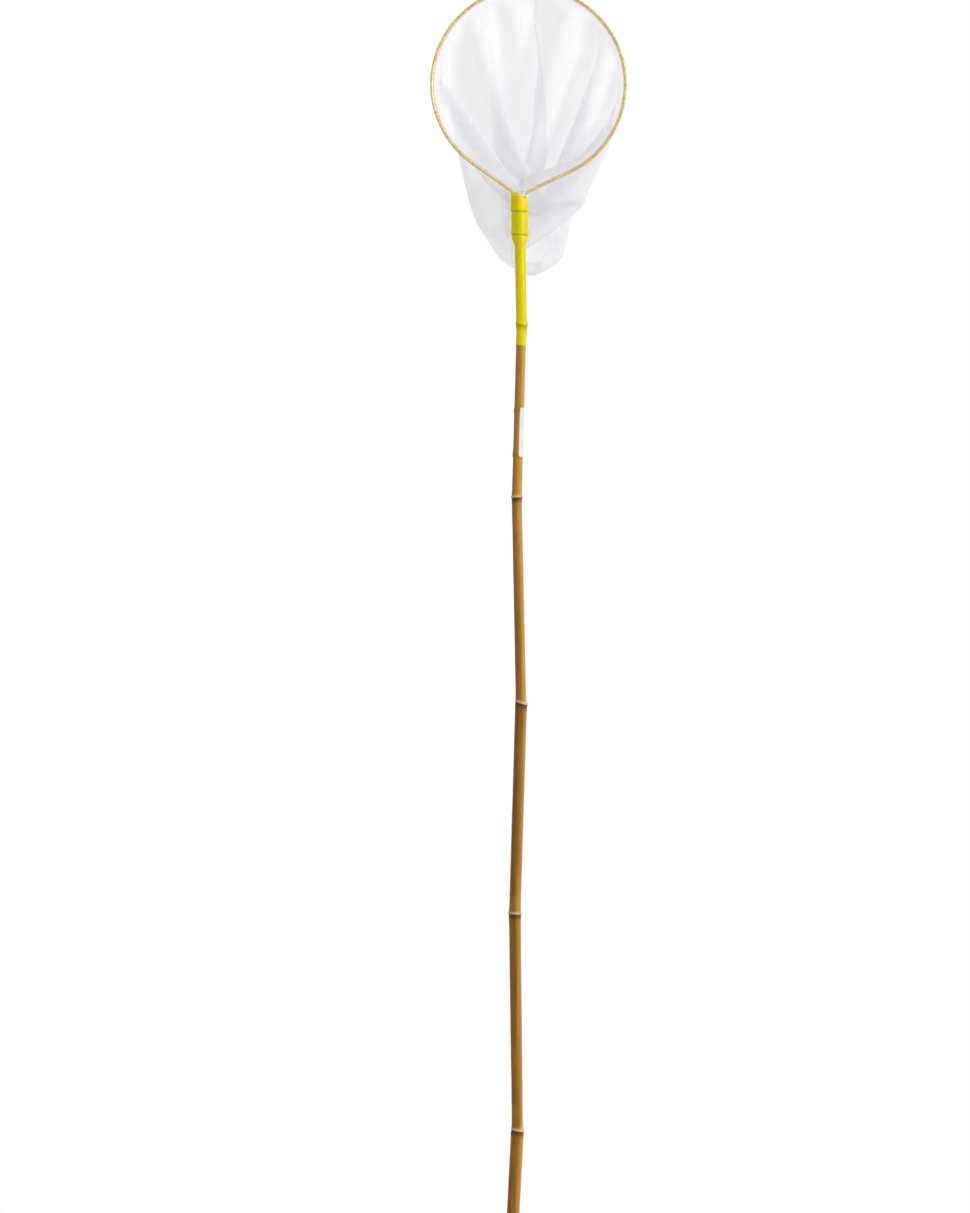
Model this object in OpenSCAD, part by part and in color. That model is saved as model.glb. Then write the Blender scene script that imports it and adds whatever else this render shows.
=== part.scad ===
// Small hand net: a round wire hoop on a bamboo cane, with a fine mesh bag.
// Millimetres. +Z runs up along the cane. The hoop faces -Y and the bag hangs behind it, on the +Y side.
// The origin is the centre of the cane's sawn butt end.

/* [Cane stretches] */
// Length of the butt stretch, from the sawn end to the first joint
butt_len = 125; // [80:1:200]
// Length of the second stretch
second_len = 223; // [140:1:260]
// Length of the third stretch
third_len = 217; // [140:1:260]
// Length of the fourth stretch
fourth_len = 212; // [140:1:260]
// Length of the fifth stretch, which carries the label
fifth_len = 178; // [140:1:240]
// Length of the top stretch, from the last joint to the sawn top
top_len = 132; // [90:1:180]
// Lean of the butt stretch towards +X, in degrees
butt_lean = 3; // [-4:0.1:4]
// Lean of the second stretch
second_lean = -0.7; // [-4:0.1:4]
// Lean of the third stretch
third_lean = 1.7; // [-4:0.1:4]
// Lean of the fourth stretch
fourth_lean = -1.2; // [-4:0.1:4]
// Lean of the fifth stretch
fifth_lean = 1.6; // [-4:0.1:4]
// Lean of the top stretch
top_lean = -1; // [-4:0.1:4]

/* [Cane thickness] */
// Diameter of the butt stretch
butt_d = 13; // [9:0.1:16]
// Diameter of the second stretch
second_d = 11.9; // [9:0.1:16]
// Diameter of the third stretch
third_d = 12; // [9:0.1:16]
// Diameter of the fourth stretch
fourth_d = 10.8; // [9:0.1:16]
// Diameter of the fifth stretch
fifth_d = 10.3; // [9:0.1:16]
// Diameter of the top stretch
top_d = 10.7; // [9:0.1:14]
// How far a joint's ridge stands above the thicker of its two stretches
ridge_rise = 0.6; // [0.3:0.1:1.2]
// Height of the ridge and the sheath scar together
ridge_h = 4.4; // [3:0.1:7]
// Diameter of the pith bore at the butt
butt_pith_d = 4.4; // [2:0.1:6]
// Diameter of the pith bore at the top
top_pith_d = 2.8; // [1.5:0.1:3.6]
// Depth of the pith bore at the top
top_pith_depth = 60; // [20:1:80]

/* [Hoop] */
// Radius of the hoop, to the middle of the wire
hoop_r = 100; // [70:1:140]
// Rise of the two straight legs above the square to the cane, in degrees
leg_rise = 30; // [15:1:45]
// Lean of the hoop against the top of the cane, in degrees
hoop_lean = 6; // [-10:0.5:10]
// Diameter of the steel wire
wire_d = 2.2; // [1.6:0.1:3]
// Thickness of the wire's plastic coat
coat_t = 0.3; // [0.2:0.05:0.6]
// Straight wire between the sleeve's top edge and the bend at the neck
neck_clear = 0.1; // [0:0.1:6]
// Bend radius of the wire at the neck
neck_bend_r = 5; // [4:0.5:7]
// Length of the tangs below the sawn top of the cane
tang_len = 42; // [30:1:70]
// Bend radius of the hooked wire tips
hook_bend_r = 1.8; // [1.6:0.1:2.4]

/* [Lashings] */
// Diameter of the lashing wire
lashing_d = 0.6; // [0.4:0.05:1]
// Turns in each lashing
lashing_turns = 3; // [2:1:5]
// Rise of one turn
lashing_pitch = 1.1; // [1:0.05:1.6]
// Depth of the upper lashing's middle below the top of the cane
upper_lashing_depth = 12; // [8:0.5:16]
// Height of the lower lashing's middle above the hooked tips
lower_lashing_up = 6; // [5:0.5:12]

/* [Sleeve] */
// Thickness of the shrunk film
film_t = 0.5; // [0.3:0.05:1]
// How far the film stands above the sawn top of the cane
film_over = 1; // [0:0.1:1.5]
// Length of the sleeve
sleeve_len = 154; // [100:1:180]
// Height over which the film draws in below the hooked tips
film_drape = 8; // [5:0.5:14]

/* [Net bag] */
// Thickness of the bag's wall
bag_wall = 0.6; // [0.5:0.1:1.2]
// Depth of the bag's lowest point below the top of the cane
bag_drop = 75; // [50:1:140]
// Width of the bag's closed end
bag_end_w = 58; // [40:1:150]
// How much higher the closed end hangs on its left than on its right
bag_end_tilt = 20; // [0:1:60]
// How far the middle of the closed end hangs towards +X
bag_end_shift = 2; // [-15:1:15]
// How far the closed end hangs behind the hoop
bag_end_back = 74; // [45:1:100]
// Number of folds that hang from the rim
bag_folds = 4; // [2:1:6]
// How far a fold stands out behind the bag's wall, and how far the wall lies forward between two of them
bag_fold_depth = 22; // [0:1:26]
// Clear space between the sleeve's collar and the bag's front wall
bag_clear = 3.5; // [1:0.5:10]
// Height above the neck at which the bag's rim crosses between the legs
bag_rim_over = 4; // [4:0.5:10]
// Thickness of the hem round the wire
hem_t = 0.3; // [0.2:0.05:0.6]
// Distance of the hem's two ends from the neck, along the legs
hem_start = 12; // [10:0.5:20]
// Diameter of the hem's stitching
stitch_d = 0.5; // [0.4:0.1:0.8]
// Diameter of the sewn ridge along the bag's seams
seam_d = 1; // [0.8:0.1:1.6]

/* [Label] */
// Height of the paper label
label_h = 51; // [30:1:70]
// Width of the paper label, round the cane
label_w = 22; // [10:1:26]
// Thickness of the paper label
label_t = 0.2; // [0.1:0.05:0.3]
// Height of the label's lower edge above the fourth joint
label_up = 42; // [20:1:60]
// Place of the label's front edge round the cane, in degrees from +X towards +Y
label_turn = -85; // [-180:1:180]

/* [Hidden] */

$fn = 96;

// Clearance between neighbouring pieces
gap = 0.1;
// Clearance inside the wire's own coat
skin_gap = 0.03;
// A cut runs this far past the face it opens
cut_past = 1;
// How far a straight bar laps into a bend, and how much fuller the bend is
lap = 0.1;
bend_swell = 0.02;

// --- The cane's centre line ---

stretch_len = [butt_len, second_len, third_len, fourth_len, fifth_len, top_len];
stretch_lean = [butt_lean, second_lean, third_lean, fourth_lean, fifth_lean, top_lean];
stretch_r = [butt_d, second_d, third_d, fourth_d, fifth_d, top_d] / 2;
last = len(stretch_len) - 1;

function along(lean) = [sin(lean), cos(lean)];
// Joint 0 is the sawn butt and joint last + 1 the sawn top, as [x, z]
function joint_at(i) = i == 0 ? [0, 0] : joint_at(i - 1) + stretch_len[i - 1] * along(stretch_lean[i - 1]);
function joint_r(i) = max(stretch_r[i - 1], stretch_r[i]) + ridge_rise;

cane_top = joint_at(last + 1);
last_joint = joint_at(last);

// Share of a joint's rise that its stretches have, by their distance from the joint: they are plain
// inside the joint's ring, and cross its two end faces as short straight bars
swell_steps = [
    [0.5, 0], [ridge_h / 2 - 0.9, 0], [ridge_h / 2 - 0.5, 0.3], [ridge_h / 2 + 0.8, 0.3],
    [ridge_h / 2 + 2.8, 0.2], [10, 0]
];
swell_reach = [for (s = swell_steps) s[0]];
swell_end = swell_reach[len(swell_reach) - 1];
function swelled(r, ridge, distance) = r + (ridge - r) * lookup(distance, swell_steps);

// Half outline of one stretch, as [radius, height above its lower end]
function stretch_outline(i) =
    let (r = stretch_r[i], l = stretch_len[i], low = i > 0, high = i < last)
    concat(
        [[0, low ? swell_reach[0] : 0]],
        low ? [for (d = swell_reach) [swelled(r, joint_r(i), d), d]] : [[r, 0]],
        high ? [for (k = [len(swell_reach) - 1:-1:0]) let (d = swell_reach[k])
            [swelled(r, joint_r(i + 1), d), l - d]] : [[r, l]],
        [[0, high ? l - swell_reach[0] : l]]
    );

// Half outline of a joint: the sheath scar below, a fine groove, and the ridge above
scar_rise = 0.15;
groove_depth = 0.35;
edge = 0.4;
function joint_outline(r) =
    let (low = -ridge_h / 2, high = ridge_h / 2)
    [
        [0, low], [r - scar_rise, low], [r + scar_rise, low + edge], [r + scar_rise, low + 2 * edge],
        [r - groove_depth, low + 3 * edge], [r - groove_depth, low + 4 * edge], [r, low + 5 * edge],
        [r, high - 2 * edge], [r - 2 * scar_rise, high], [0, high]
    ];

// --- The hoop, in the frame of the cane's sawn top: x across, z up along the top stretch ---

coat_r = wire_d / 2 + coat_t;
hem_r = coat_r + gap + hem_t;
tang_x = top_d / 2 + gap + coat_r;
hook_hole_d = wire_d + 3 * gap;
hook_tip_x = top_pith_d / 2 + wire_d / 2;

// Each leg rises from its tang by this angle, and the bend takes this length off both
function rise(side) = leg_rise - side * hoop_lean;
function neck_turn(side) = 90 - rise(side);
function neck_trim(side) = neck_bend_r * tan(neck_turn(side) / 2);
// Height of the neck above the cane's sawn top: the bends start just above the sleeve
neck_h = film_over + neck_clear + max(neck_trim(1), neck_trim(-1)) + tang_x * abs(sin(hoop_lean));
// The legs meet the tangs at the neck, so the hoop's centre lies this far above it
hoop_up = (hoop_r - tang_x * sin(leg_rise)) / cos(leg_rise);
hoop_centre = [0, neck_h] + hoop_up * along(hoop_lean);

function direction(angle) = [cos(angle), sin(angle)];
// side is 1 for the right leg and -1 for the left
function tangent_angle(side) = 90 - hoop_lean - side * (180 - leg_rise);
function tangent_point(side, inset) = hoop_centre + (hoop_r - inset) * direction(tangent_angle(side));
function leg_way(side) = [side * cos(rise(side)), sin(rise(side))];
function leg_len(side) = (side * tangent_point(side, 0)[0] - tang_x) / cos(rise(side));
function neck_corner(side) = tangent_point(side, 0) - leg_len(side) * leg_way(side);

// --- The outline round the cane and both tangs, by the direction that a point faces ---

// pieces is a list of circles as [x, radius]; the outermost one carries the point
function outline_point(pieces, out, facing) =
    let (
        reach = [for (c = pieces) c[0] * cos(facing) + c[1]],
        c = pieces[search([max(reach)], reach)[0]]
    )
    [c[0], 0] + (c[1] + out) * direction(facing);

tang_circles = [[0, top_d / 2], [tang_x, coat_r], [-tang_x, coat_r]];

// --- A tube swept along points ---

function unit(v) = v / norm(v);
function tube_ring(path, i, r, sides) =
    let (
        way = unit(path[min(i + 1, len(path) - 1)] - path[max(i - 1, 0)]),
        a = unit(cross(way, abs(way[1]) < 0.9 ? [0, 1, 0] : [1, 0, 0])),
        b = cross(way, a)
    )
    [for (k = [0:sides - 1]) path[i] + r * (cos(360 * k / sides) * a + sin(360 * k / sides) * b)];
function tube_points(path, r, sides) = [for (i = [0:len(path) - 1]) each tube_ring(path, i, r, sides)];
function tube_faces(rings, sides) = concat(
    [for (i = [0:rings - 2]) for (k = [0:sides - 1]) let (
        a = i * sides + k, b = i * sides + (k + 1) % sides
    ) each [[a, a + sides, b], [b, a + sides, b + sides]]],
    [[for (k = [0:sides - 1]) k]],
    [[for (k = [sides - 1:-1:0]) (rings - 1) * sides + k]]
);

// --- Lashings ---

lower_lashing_depth = tang_len - lower_lashing_up;

lashing_sides = 6;
points_per_turn = 24;
lashing_out = gap + lashing_d / 2;
lashing_path = [
    for (i = [0:lashing_turns * points_per_turn])
        let (facing = 360 * i / points_per_turn, p = outline_point(tang_circles, lashing_out, facing))
        [p[0], p[1], lashing_pitch * (i / points_per_turn - lashing_turns / 2)]
];
lashing_least_gap = min([
    for (i = [0:len(lashing_path) - 1])
        for (j = [i + points_per_turn / 2:1:len(lashing_path) - 1])
            norm(lashing_path[i] - lashing_path[j])
]) - lashing_d;
echo(lashing_least_gap = lashing_least_gap);

// --- Sleeve ---

sleeve_sides = 40;
sleeve_top = cane_top[1] + film_over;
sleeve_low = sleeve_top - sleeve_len;
tip_z = cane_top[1] - tang_len - wire_d / 2;

// Centre line and radius of the cane under the sleeve, by height
function cane_x(z) = z < last_joint[1]
    ? last_joint[0] + (z - last_joint[1]) * tan(stretch_lean[last - 1])
    : last_joint[0] + (z - last_joint[1]) * tan(stretch_lean[last]);
function plain_r(z) = stretch_r[z < last_joint[1] ? last - 1 : last];
function cane_r(z) =
    let (away = abs(z - last_joint[1]))
    away < ridge_h / 2 + 1.5 * edge
        ? joint_r(last) + scar_rise
        : swelled(plain_r(z), joint_r(last), away) + gap * (away < swell_end ? 1 : 0);
// The tangs' share of their full stand-off: 1 beside them, 0 where the film has drawn in
function smooth(s) = let (t = min(1, max(0, s))) t * t * (3 - 2 * t);
function tang_share(z) = smooth((z - tip_z + film_drape) / film_drape + gap);
// How far the film steps out over a lashing
lashing_half = (lashing_turns * lashing_pitch + lashing_d) / 2 + edge;
function lashing_step(z, depth) =
    (lashing_d + gap) * (1 - smooth((abs(z - cane_top[1] + depth) - lashing_half) / 2));
function film_out(z) =
    gap + lashing_step(z, upper_lashing_depth) + lashing_step(z, lower_lashing_depth);

function sleeve_ring(z, out) =
    let (t = tang_share(z), pieces = [[0, cane_r(z)], [t * tang_x, coat_r], [-t * tang_x, coat_r]])
    [for (k = [0:sleeve_sides - 1])
        let (p = outline_point(pieces, film_out(z) + out, 360 * k / sleeve_sides))
        [cane_x(z) + p[0], p[1], z]];

function sorted(v) = len(v) < 2 ? v : let (pivot = v[0]) concat(
    sorted([for (x = v) if (x < pivot) x]), [pivot], sorted([for (x = v) if (x > pivot) x])
);
function thinned(v, least) = [for (i = [0:len(v) - 1]) if (i == 0 || v[i] - v[i - 1] >= least) v[i]];

joint_rings = [
    for (d = [swell_end, ridge_h / 2 + 2.8, ridge_h / 2 + 2 * edge, ridge_h / 2 + edge]) each [-d, d]
];
lashing_rings = [for (d = [lashing_half, lashing_half + 1, lashing_half + 2]) each [-d, d]];
ring_heights = concat(
    [for (d = joint_rings) last_joint[1] + d],
    [for (d = lashing_rings) cane_top[1] - upper_lashing_depth + d],
    [for (d = lashing_rings) cane_top[1] - lower_lashing_depth + d],
    [for (s = [0:0.2:1]) tip_z - s * film_drape],
    [for (s = [0.25, 0.5, 0.75]) last_joint[1] + s * (tip_z - last_joint[1])]
);
least_ring_step = 0.3;
sleeve_rings = concat(
    [sleeve_low],
    thinned(sorted([for (z = ring_heights)
        if (z > sleeve_low + least_ring_step && z < sleeve_top - least_ring_step) z]), least_ring_step),
    [sleeve_top]
);

// --- A closed wall between an outer and an inner set of rings, both with m points a ring ---

function wall_faces(m, rings) = concat(
    [for (i = [0:rings - 2]) for (k = [0:m - 1]) let (
        a = i * m + k, b = i * m + (k + 1) % m
    ) each [[a, a + m, b], [b, a + m, b + m]]],
    [for (i = [0:rings - 2]) for (k = [0:m - 1]) let (
        a = (rings + i) * m + k, b = (rings + i) * m + (k + 1) % m
    ) each [[a, b, a + m], [b, b + m, a + m]]]
);
// Ring of triangles that joins the outer ring i to the inner ring i
function lip_faces(m, rings, i, flip) = [
    for (k = [0:m - 1]) let (
        a = i * m + k, b = i * m + (k + 1) % m, c = a + rings * m, d = b + rings * m
    ) each (flip ? [[a, c, b], [b, c, d]] : [[a, b, c], [b, d, c]])
];

// --- Net bag, in the frame of the cane's sawn top ---

bag_columns = 48;
rim_y = hem_r + gap + bag_wall;
// The front wall of the bag passes behind the collar at this depth
collar_y = top_d / 2 + 2 * gap + lashing_d + film_t;
front_wall_y = collar_y + bag_clear + bag_wall;
bag_rows = [0, 0.03, 0.06, 0.1, 0.18, 0.28, 0.38, 0.48, 0.58, 0.67, 0.75, 0.82, 0.88, 0.93, 0.97, 1];
// Row at which the front wall has cleared the collar
clear_row = 0.1;
// Thickness of the two walls where they meet at the closed end
end_lips = 1.5 * bag_wall;

// facing runs round the hoop in the hoop's own lean: -90 at the neck, 0 on the right, 90 at the top
function column_facing(k) = -90 + 360 * (k + 0.5) / bag_columns;
// The rim follows the hoop and its legs, and crosses between the legs just above the neck
function rim_reach(facing) =
    let (from_neck = abs(facing + 90 - 360 * round((facing + 90) / 360)))
    min(
        hoop_r / cos(max(0, leg_rise - from_neck)),
        from_neck < 60 ? (hoop_up - bag_rim_over) / cos(from_neck) : 2 * hoop_r
    );
function rim_point(facing) = hoop_centre + rim_reach(facing) * direction(facing - hoop_lean);
function end_point(facing) =
    let (c = cos(facing))
    [bag_end_shift + bag_end_w / 2 * c, -bag_drop + bag_end_tilt * pow((1 - c) / 2, 1.7)];
// The front wall stays near the cane at first, and the back wall leaves the hoop at once
function front_y(v) = v < clear_row
    ? rim_y + (front_wall_y - rim_y) * (1 - pow(1 - v / clear_row, 2))
    : front_wall_y
        + (bag_end_back - front_wall_y) * pow(1 - cos(90 * (v - clear_row) / (1 - clear_row)), 1.6);
function back_y(v) = rim_y + (bag_end_back + end_lips - rim_y) * pow(sin(90 * v), 1.3);
// The folds hang from the top of the hoop and fade towards the neck, the rim and the closed end
function fold_y(facing, v, lift) =
    bag_fold_depth * cos(bag_folds * (facing - 90)) * sin(180 * v) * sqrt(lift);
function bag_point(facing, v) =
    let (p = (1 - v) * rim_point(facing) + v * end_point(facing), lift = (1 + sin(facing)) / 2)
    [p[0], (1 - lift) * front_y(v) + lift * back_y(v) + fold_y(facing, v, lift), p[1]];

// The wall's inward direction, from the points beside this one
step_v = 0.01;
function bag_inward(facing, v) =
    let (
        round_way = bag_point(facing + 2, v) - bag_point(facing - 2, v),
        down_way = bag_point(facing, min(1, v + step_v)) - bag_point(facing, max(0, v - step_v))
    )
    unit(cross(round_way, down_way));
// The inner wall stops short of the closed end
inner_end = 0.985;
bag_outside = [for (v = bag_rows) for (k = [0:bag_columns - 1]) bag_point(column_facing(k), v)];
bag_inside = [for (v = bag_rows) for (k = [0:bag_columns - 1])
    let (u = min(v, inner_end), f = column_facing(k))
    bag_point(f, u) + bag_wall * bag_inward(f, u)];
// The closed end pairs each front column with the back column at the same width
function partner(k) = (3 * bag_columns / 2 - 1 - k) % bag_columns;
function end_faces(base, flip) = [
    for (i = [-bag_columns / 4:bag_columns / 4 - 2])
        let (
            a = base + (i + bag_columns) % bag_columns,
            b = base + (i + 1 + bag_columns) % bag_columns,
            c = base + partner((i + bag_columns) % bag_columns),
            d = base + partner((i + 1 + bag_columns) % bag_columns)
        )
        each (flip ? [[a, c, b], [b, c, d]] : [[a, b, c], [b, d, c]])
];
bag_last = (len(bag_rows) - 1) * bag_columns;
// The rows run away from the viewer, so the faces are turned round
bag_faces = [for (f = concat(
    wall_faces(bag_columns, len(bag_rows)),
    lip_faces(bag_columns, len(bag_rows), 0, false),
    end_faces(bag_last, true),
    end_faces(bag_last + len(bag_rows) * bag_columns, false)
)) [f[2], f[1], f[0]]];

seam_sides = 6;
seam_out = seam_d / 2 + gap;
// Down the middle of the back, then along the closed end
back_seam_path = [for (v = bag_rows) if (v > 0.05 && v < 0.99)
    bag_point(90, v) - seam_out * bag_inward(90, v)];
end_seam_path = [for (facing = [4:8.6:176])
    let (
        way = unit(end_point(facing + 2) - end_point(facing - 2)),
        p = end_point(facing) + seam_out * [-way[1], way[0]]
    )
    [p[0], bag_end_back + end_lips / 2, p[1]]];

// --- Modules shared by the pieces ---

module from_cane_top() {
    translate([cane_top[0], 0, cane_top[1]]) rotate([0, top_lean, 0]) children();
}

module at_joint(i, lean) {
    translate([joint_at(i)[0], 0, joint_at(i)[1]]) rotate([0, lean, 0]) children();
}

// Straight round bar between two [x, z] points, which laps into what it meets at either end
module bar(from, to, d, laps = [0, 0]) {
    way = unit(to - from);
    start = from - laps[0] * way;
    translate([start[0], 0, start[1]]) rotate([0, atan2(way[0], way[1]), 0])
        cylinder(h = norm(to - from) + laps[0] + laps[1], d = d);
}

// Round bar bent about an [x, z] centre, from one angle over a sweep. A bend is a hair fuller than the
// straight bars that lap into it
module bow(centre, r, from, sweep, d) {
    translate([centre[0], 0, centre[1]]) rotate([90, 0, 0]) rotate([0, 0, from])
        rotate_extrude(angle = sweep, $fn = 180) translate([r, 0]) circle(d = d + bend_swell, $fn = 32);
}

// The hoop and its two legs, from a distance along each leg, inset from the wire's middle
module hoop_run(d, inset, starts) {
    bow(hoop_centre, hoop_r - inset, tangent_angle(1), 360 - 2 * leg_rise, d);
    for (side = [-1, 1]) {
        end = tangent_point(side, inset);
        bar(end - (leg_len(side) - starts[(1 - side) / 2]) * leg_way(side), end, d, [lap, lap]);
    }
}

// The hoop, legs, neck bends and tangs, down to a depth below the top of the cane
module hoop_and_tangs(d, depth) {
    hoop_run(d, 0, [neck_trim(1), neck_trim(-1)]);
    for (side = [-1, 1]) {
        corner = neck_corner(side);
        turn = neck_turn(side);
        low = corner[1] - neck_trim(side);
        bow([side * (tang_x + neck_bend_r), low], neck_bend_r, side > 0 ? 180 - turn : 0, turn, d);
        bar([side * tang_x, -depth], [side * tang_x, low], d, [lap, lap]);
    }
}

module lashing(depth) {
    from_cane_top() translate([0, 0, -depth])
        polyhedron(tube_points(lashing_path, lashing_d / 2, lashing_sides),
            tube_faces(len(lashing_path), lashing_sides), convexity = 6);
}

// --- Sub-parts ---

module cane() {
    color("burlywood") difference() {
        union() {
            for (i = [0:last]) at_joint(i, stretch_lean[i]) rotate_extrude() polygon(stretch_outline(i));
            for (i = [1:last]) at_joint(i, (stretch_lean[i - 1] + stretch_lean[i]) / 2)
                rotate_extrude() polygon(joint_outline(joint_r(i)));
        }
        // Pith bores, each closed by the wall at the next joint
        at_joint(0, butt_lean) translate([0, 0, -cut_past])
            cylinder(h = butt_len - ridge_h + cut_past, d = butt_pith_d);
        from_cane_top() translate([0, 0, -top_pith_depth])
            cylinder(h = top_pith_depth + cut_past, d = top_pith_d);
        // Cross holes for the hooked wire tips
        from_cane_top() for (side = [-1, 1])
            bar([side * (hook_tip_x - 2 * gap), -tang_len], [side * (top_d / 2 + cut_past), -tang_len],
                hook_hole_d);
    }
}

module hoop_wire() {
    color("silver") from_cane_top() {
        hook_top = tang_len - hook_bend_r;
        hoop_and_tangs(wire_d, hook_top);
        for (side = [-1, 1]) {
            bend_x = side * (tang_x - hook_bend_r);
            bow([bend_x, -hook_top], hook_bend_r, side > 0 ? -90 : 180, 90, wire_d);
            bar([bend_x, -tang_len], [side * hook_tip_x, -tang_len], wire_d, [lap, 0]);
        }
    }
}

module wire_coat() {
    coat_depth = tang_len - hook_bend_r - cut_past;
    color("gold") from_cane_top() difference() {
        hoop_and_tangs(2 * coat_r, coat_depth);
        hoop_and_tangs(wire_d + 2 * skin_gap, coat_depth + cut_past);
    }
}

module upper_lashing() {
    color("gray") lashing(upper_lashing_depth);
}

module lower_lashing() {
    color("gray") lashing(lower_lashing_depth);
}

module sleeve() {
    rings = len(sleeve_rings);
    points = concat(
        [for (z = sleeve_rings) each sleeve_ring(z, film_t)],
        [for (z = sleeve_rings) each sleeve_ring(z, 0)]
    );
    faces = concat(
        wall_faces(sleeve_sides, rings),
        lip_faces(sleeve_sides, rings, 0, false),
        lip_faces(sleeve_sides, rings, rings - 1, true)
    );
    color("yellow") polyhedron(points, faces, convexity = 6);
}

module net_bag() {
    color("white") from_cane_top() polyhedron(concat(bag_outside, bag_inside), bag_faces, convexity = 6);
}

module rim_hem() {
    color("ivory") from_cane_top() difference() {
        hoop_run(2 * hem_r, 0, [hem_start, hem_start]);
        hoop_run(2 * (hem_r - hem_t), 0, [hem_start - cut_past, hem_start - cut_past]);
    }
}

module hem_stitching() {
    inset = hem_r + gap + stitch_d / 2;
    color("goldenrod") from_cane_top() hoop_run(stitch_d, inset, [hem_start, hem_start]);
}

module bag_seam() {
    color("whitesmoke") from_cane_top() {
        polyhedron(tube_points(back_seam_path, seam_d / 2, seam_sides),
            tube_faces(len(back_seam_path), seam_sides), convexity = 6);
        polyhedron(tube_points(end_seam_path, seam_d / 2, seam_sides),
            tube_faces(len(end_seam_path), seam_sides), convexity = 6);
    }
}

module price_label() {
    label_r = fifth_d / 2 + gap / 2;
    color("snow") at_joint(last - 1, fifth_lean) translate([0, 0, label_up]) rotate([0, 0, label_turn])
        rotate_extrude(angle = label_w / label_r * 180 / PI) translate([label_r, 0]) square([label_t, label_h]);
}

cane();
hoop_wire();
wire_coat();
upper_lashing();
lower_lashing();
sleeve();
net_bag();
rim_hem();
hem_stitching();
bag_seam();
price_label();
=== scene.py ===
"""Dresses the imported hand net: a jointed bamboo cane, a gold-coated wire hoop lashed to its top under a
yellow shrink sleeve, and a bag of white mesh that hangs in the hoop. Lengths are in metres."""
import math

import bmesh
import bpy
import numpy as np
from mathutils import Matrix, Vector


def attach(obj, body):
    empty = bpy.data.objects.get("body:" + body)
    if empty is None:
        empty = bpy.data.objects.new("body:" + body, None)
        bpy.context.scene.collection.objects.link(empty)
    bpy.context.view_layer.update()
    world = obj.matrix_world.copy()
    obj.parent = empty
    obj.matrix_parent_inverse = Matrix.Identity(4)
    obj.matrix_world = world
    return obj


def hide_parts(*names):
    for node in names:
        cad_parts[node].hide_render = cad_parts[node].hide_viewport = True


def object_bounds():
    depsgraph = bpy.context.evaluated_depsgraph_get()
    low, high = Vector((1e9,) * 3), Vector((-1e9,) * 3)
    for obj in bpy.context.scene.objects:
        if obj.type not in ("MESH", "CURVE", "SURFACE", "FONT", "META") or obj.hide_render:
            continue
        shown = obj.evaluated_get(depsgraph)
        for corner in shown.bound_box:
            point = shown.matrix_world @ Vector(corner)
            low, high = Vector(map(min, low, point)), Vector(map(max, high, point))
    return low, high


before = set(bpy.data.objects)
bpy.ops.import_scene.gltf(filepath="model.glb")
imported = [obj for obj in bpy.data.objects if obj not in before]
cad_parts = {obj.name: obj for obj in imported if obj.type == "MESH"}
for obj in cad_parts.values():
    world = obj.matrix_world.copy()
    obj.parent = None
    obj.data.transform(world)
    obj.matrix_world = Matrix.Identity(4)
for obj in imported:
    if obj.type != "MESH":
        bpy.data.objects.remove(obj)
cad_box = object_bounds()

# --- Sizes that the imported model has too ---

STRETCH_LENGTHS = np.array([0.125, 0.223, 0.217, 0.212, 0.178, 0.132])
STRETCH_LEANS = np.radians([3.0, -0.7, 1.7, -1.2, 1.6, -1.0])
CANE_LENGTH = STRETCH_LENGTHS.sum()
JOINT_PLACES = np.cumsum(STRETCH_LENGTHS)[:-1]      # distances of the joints from the butt
STRETCH_ENDS = np.concatenate([[0], JOINT_PLACES, [CANE_LENGTH]])
BUTT_BORE_R, BUTT_BORE_DEPTH = 0.0022, 0.1206
TOP_BORE_R, TOP_BORE_DEPTH = 0.0014, 0.060
HOOP_R = 0.100                      # to the middle of the wire
LEG_RISE = math.radians(30)         # of the two straight legs of the hoop
TANG_X = 0.00685                    # from the middle of the cane to the middle of each tang
COAT_R = 0.0014                     # of the coated wire
TANG_DEPTH = 0.042                  # from the cane's top down to the hooked tips
LASHING_DEPTHS = (0.012, 0.036)     # from the cane's top
LASHING_D = 0.0006
NECK_CLEAR = 0.0051                 # from the cane's top to the corner between tang and leg
HOOP_TURN = math.radians(6)         # of the hoop, against the cane's last stretch
LABEL_HEIGHT, LABEL_WIDTH = 0.051, 0.022
LABEL_UP = 0.042                    # from the fourth joint to the label's lower edge
LABEL_TURN = math.radians(-85)      # from +X to the label's front edge


def ahead(x, z, lean, distance):
    """The point at a distance from (x, z), in a direction that leans from upright towards +X."""
    return np.array([x + distance * math.sin(lean), z + distance * math.cos(lean)])


CORNERS = np.concatenate([[[0, 0]], np.cumsum(
    STRETCH_LENGTHS[:, None] * np.stack([np.sin(STRETCH_LEANS), np.cos(STRETCH_LEANS)], 1), 0)])
TOP_LEAN = STRETCH_LEANS[-1]
HOOP_LEAN = TOP_LEAN + HOOP_TURN
CANE_TOP = CORNERS[-1]
NECK = ahead(*CANE_TOP, TOP_LEAN, NECK_CLEAR)
HOOP_UP = (HOOP_R - TANG_X * math.sin(LEG_RISE)) / math.cos(LEG_RISE)   # from the neck to the hoop's middle


# --- Meshes from grids ---

def grid_faces(rows, columns, closed_columns=True, closed_rows=False):
    """Four-cornered faces between neighbouring rows and columns of a grid, which point out where the rows
    run up and the columns run anticlockwise, seen from above."""
    row = np.arange(rows if closed_rows else rows - 1)[:, None]
    column = np.arange(columns if closed_columns else columns - 1)[None, :]
    below, above = row * columns, (row + 1) % rows * columns
    beside = (column + 1) % columns
    corners = (below + column, below + beside, above + beside, above + column)
    return np.stack([np.broadcast_to(c, (len(row), column.size)) for c in corners], -1).reshape(-1, 4)


def show(name, data):
    """An object of a mesh, lamp or camera, put in the scene."""
    shown = bpy.data.objects.new(name, data)
    bpy.context.scene.collection.objects.link(shown)
    return shown


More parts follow.
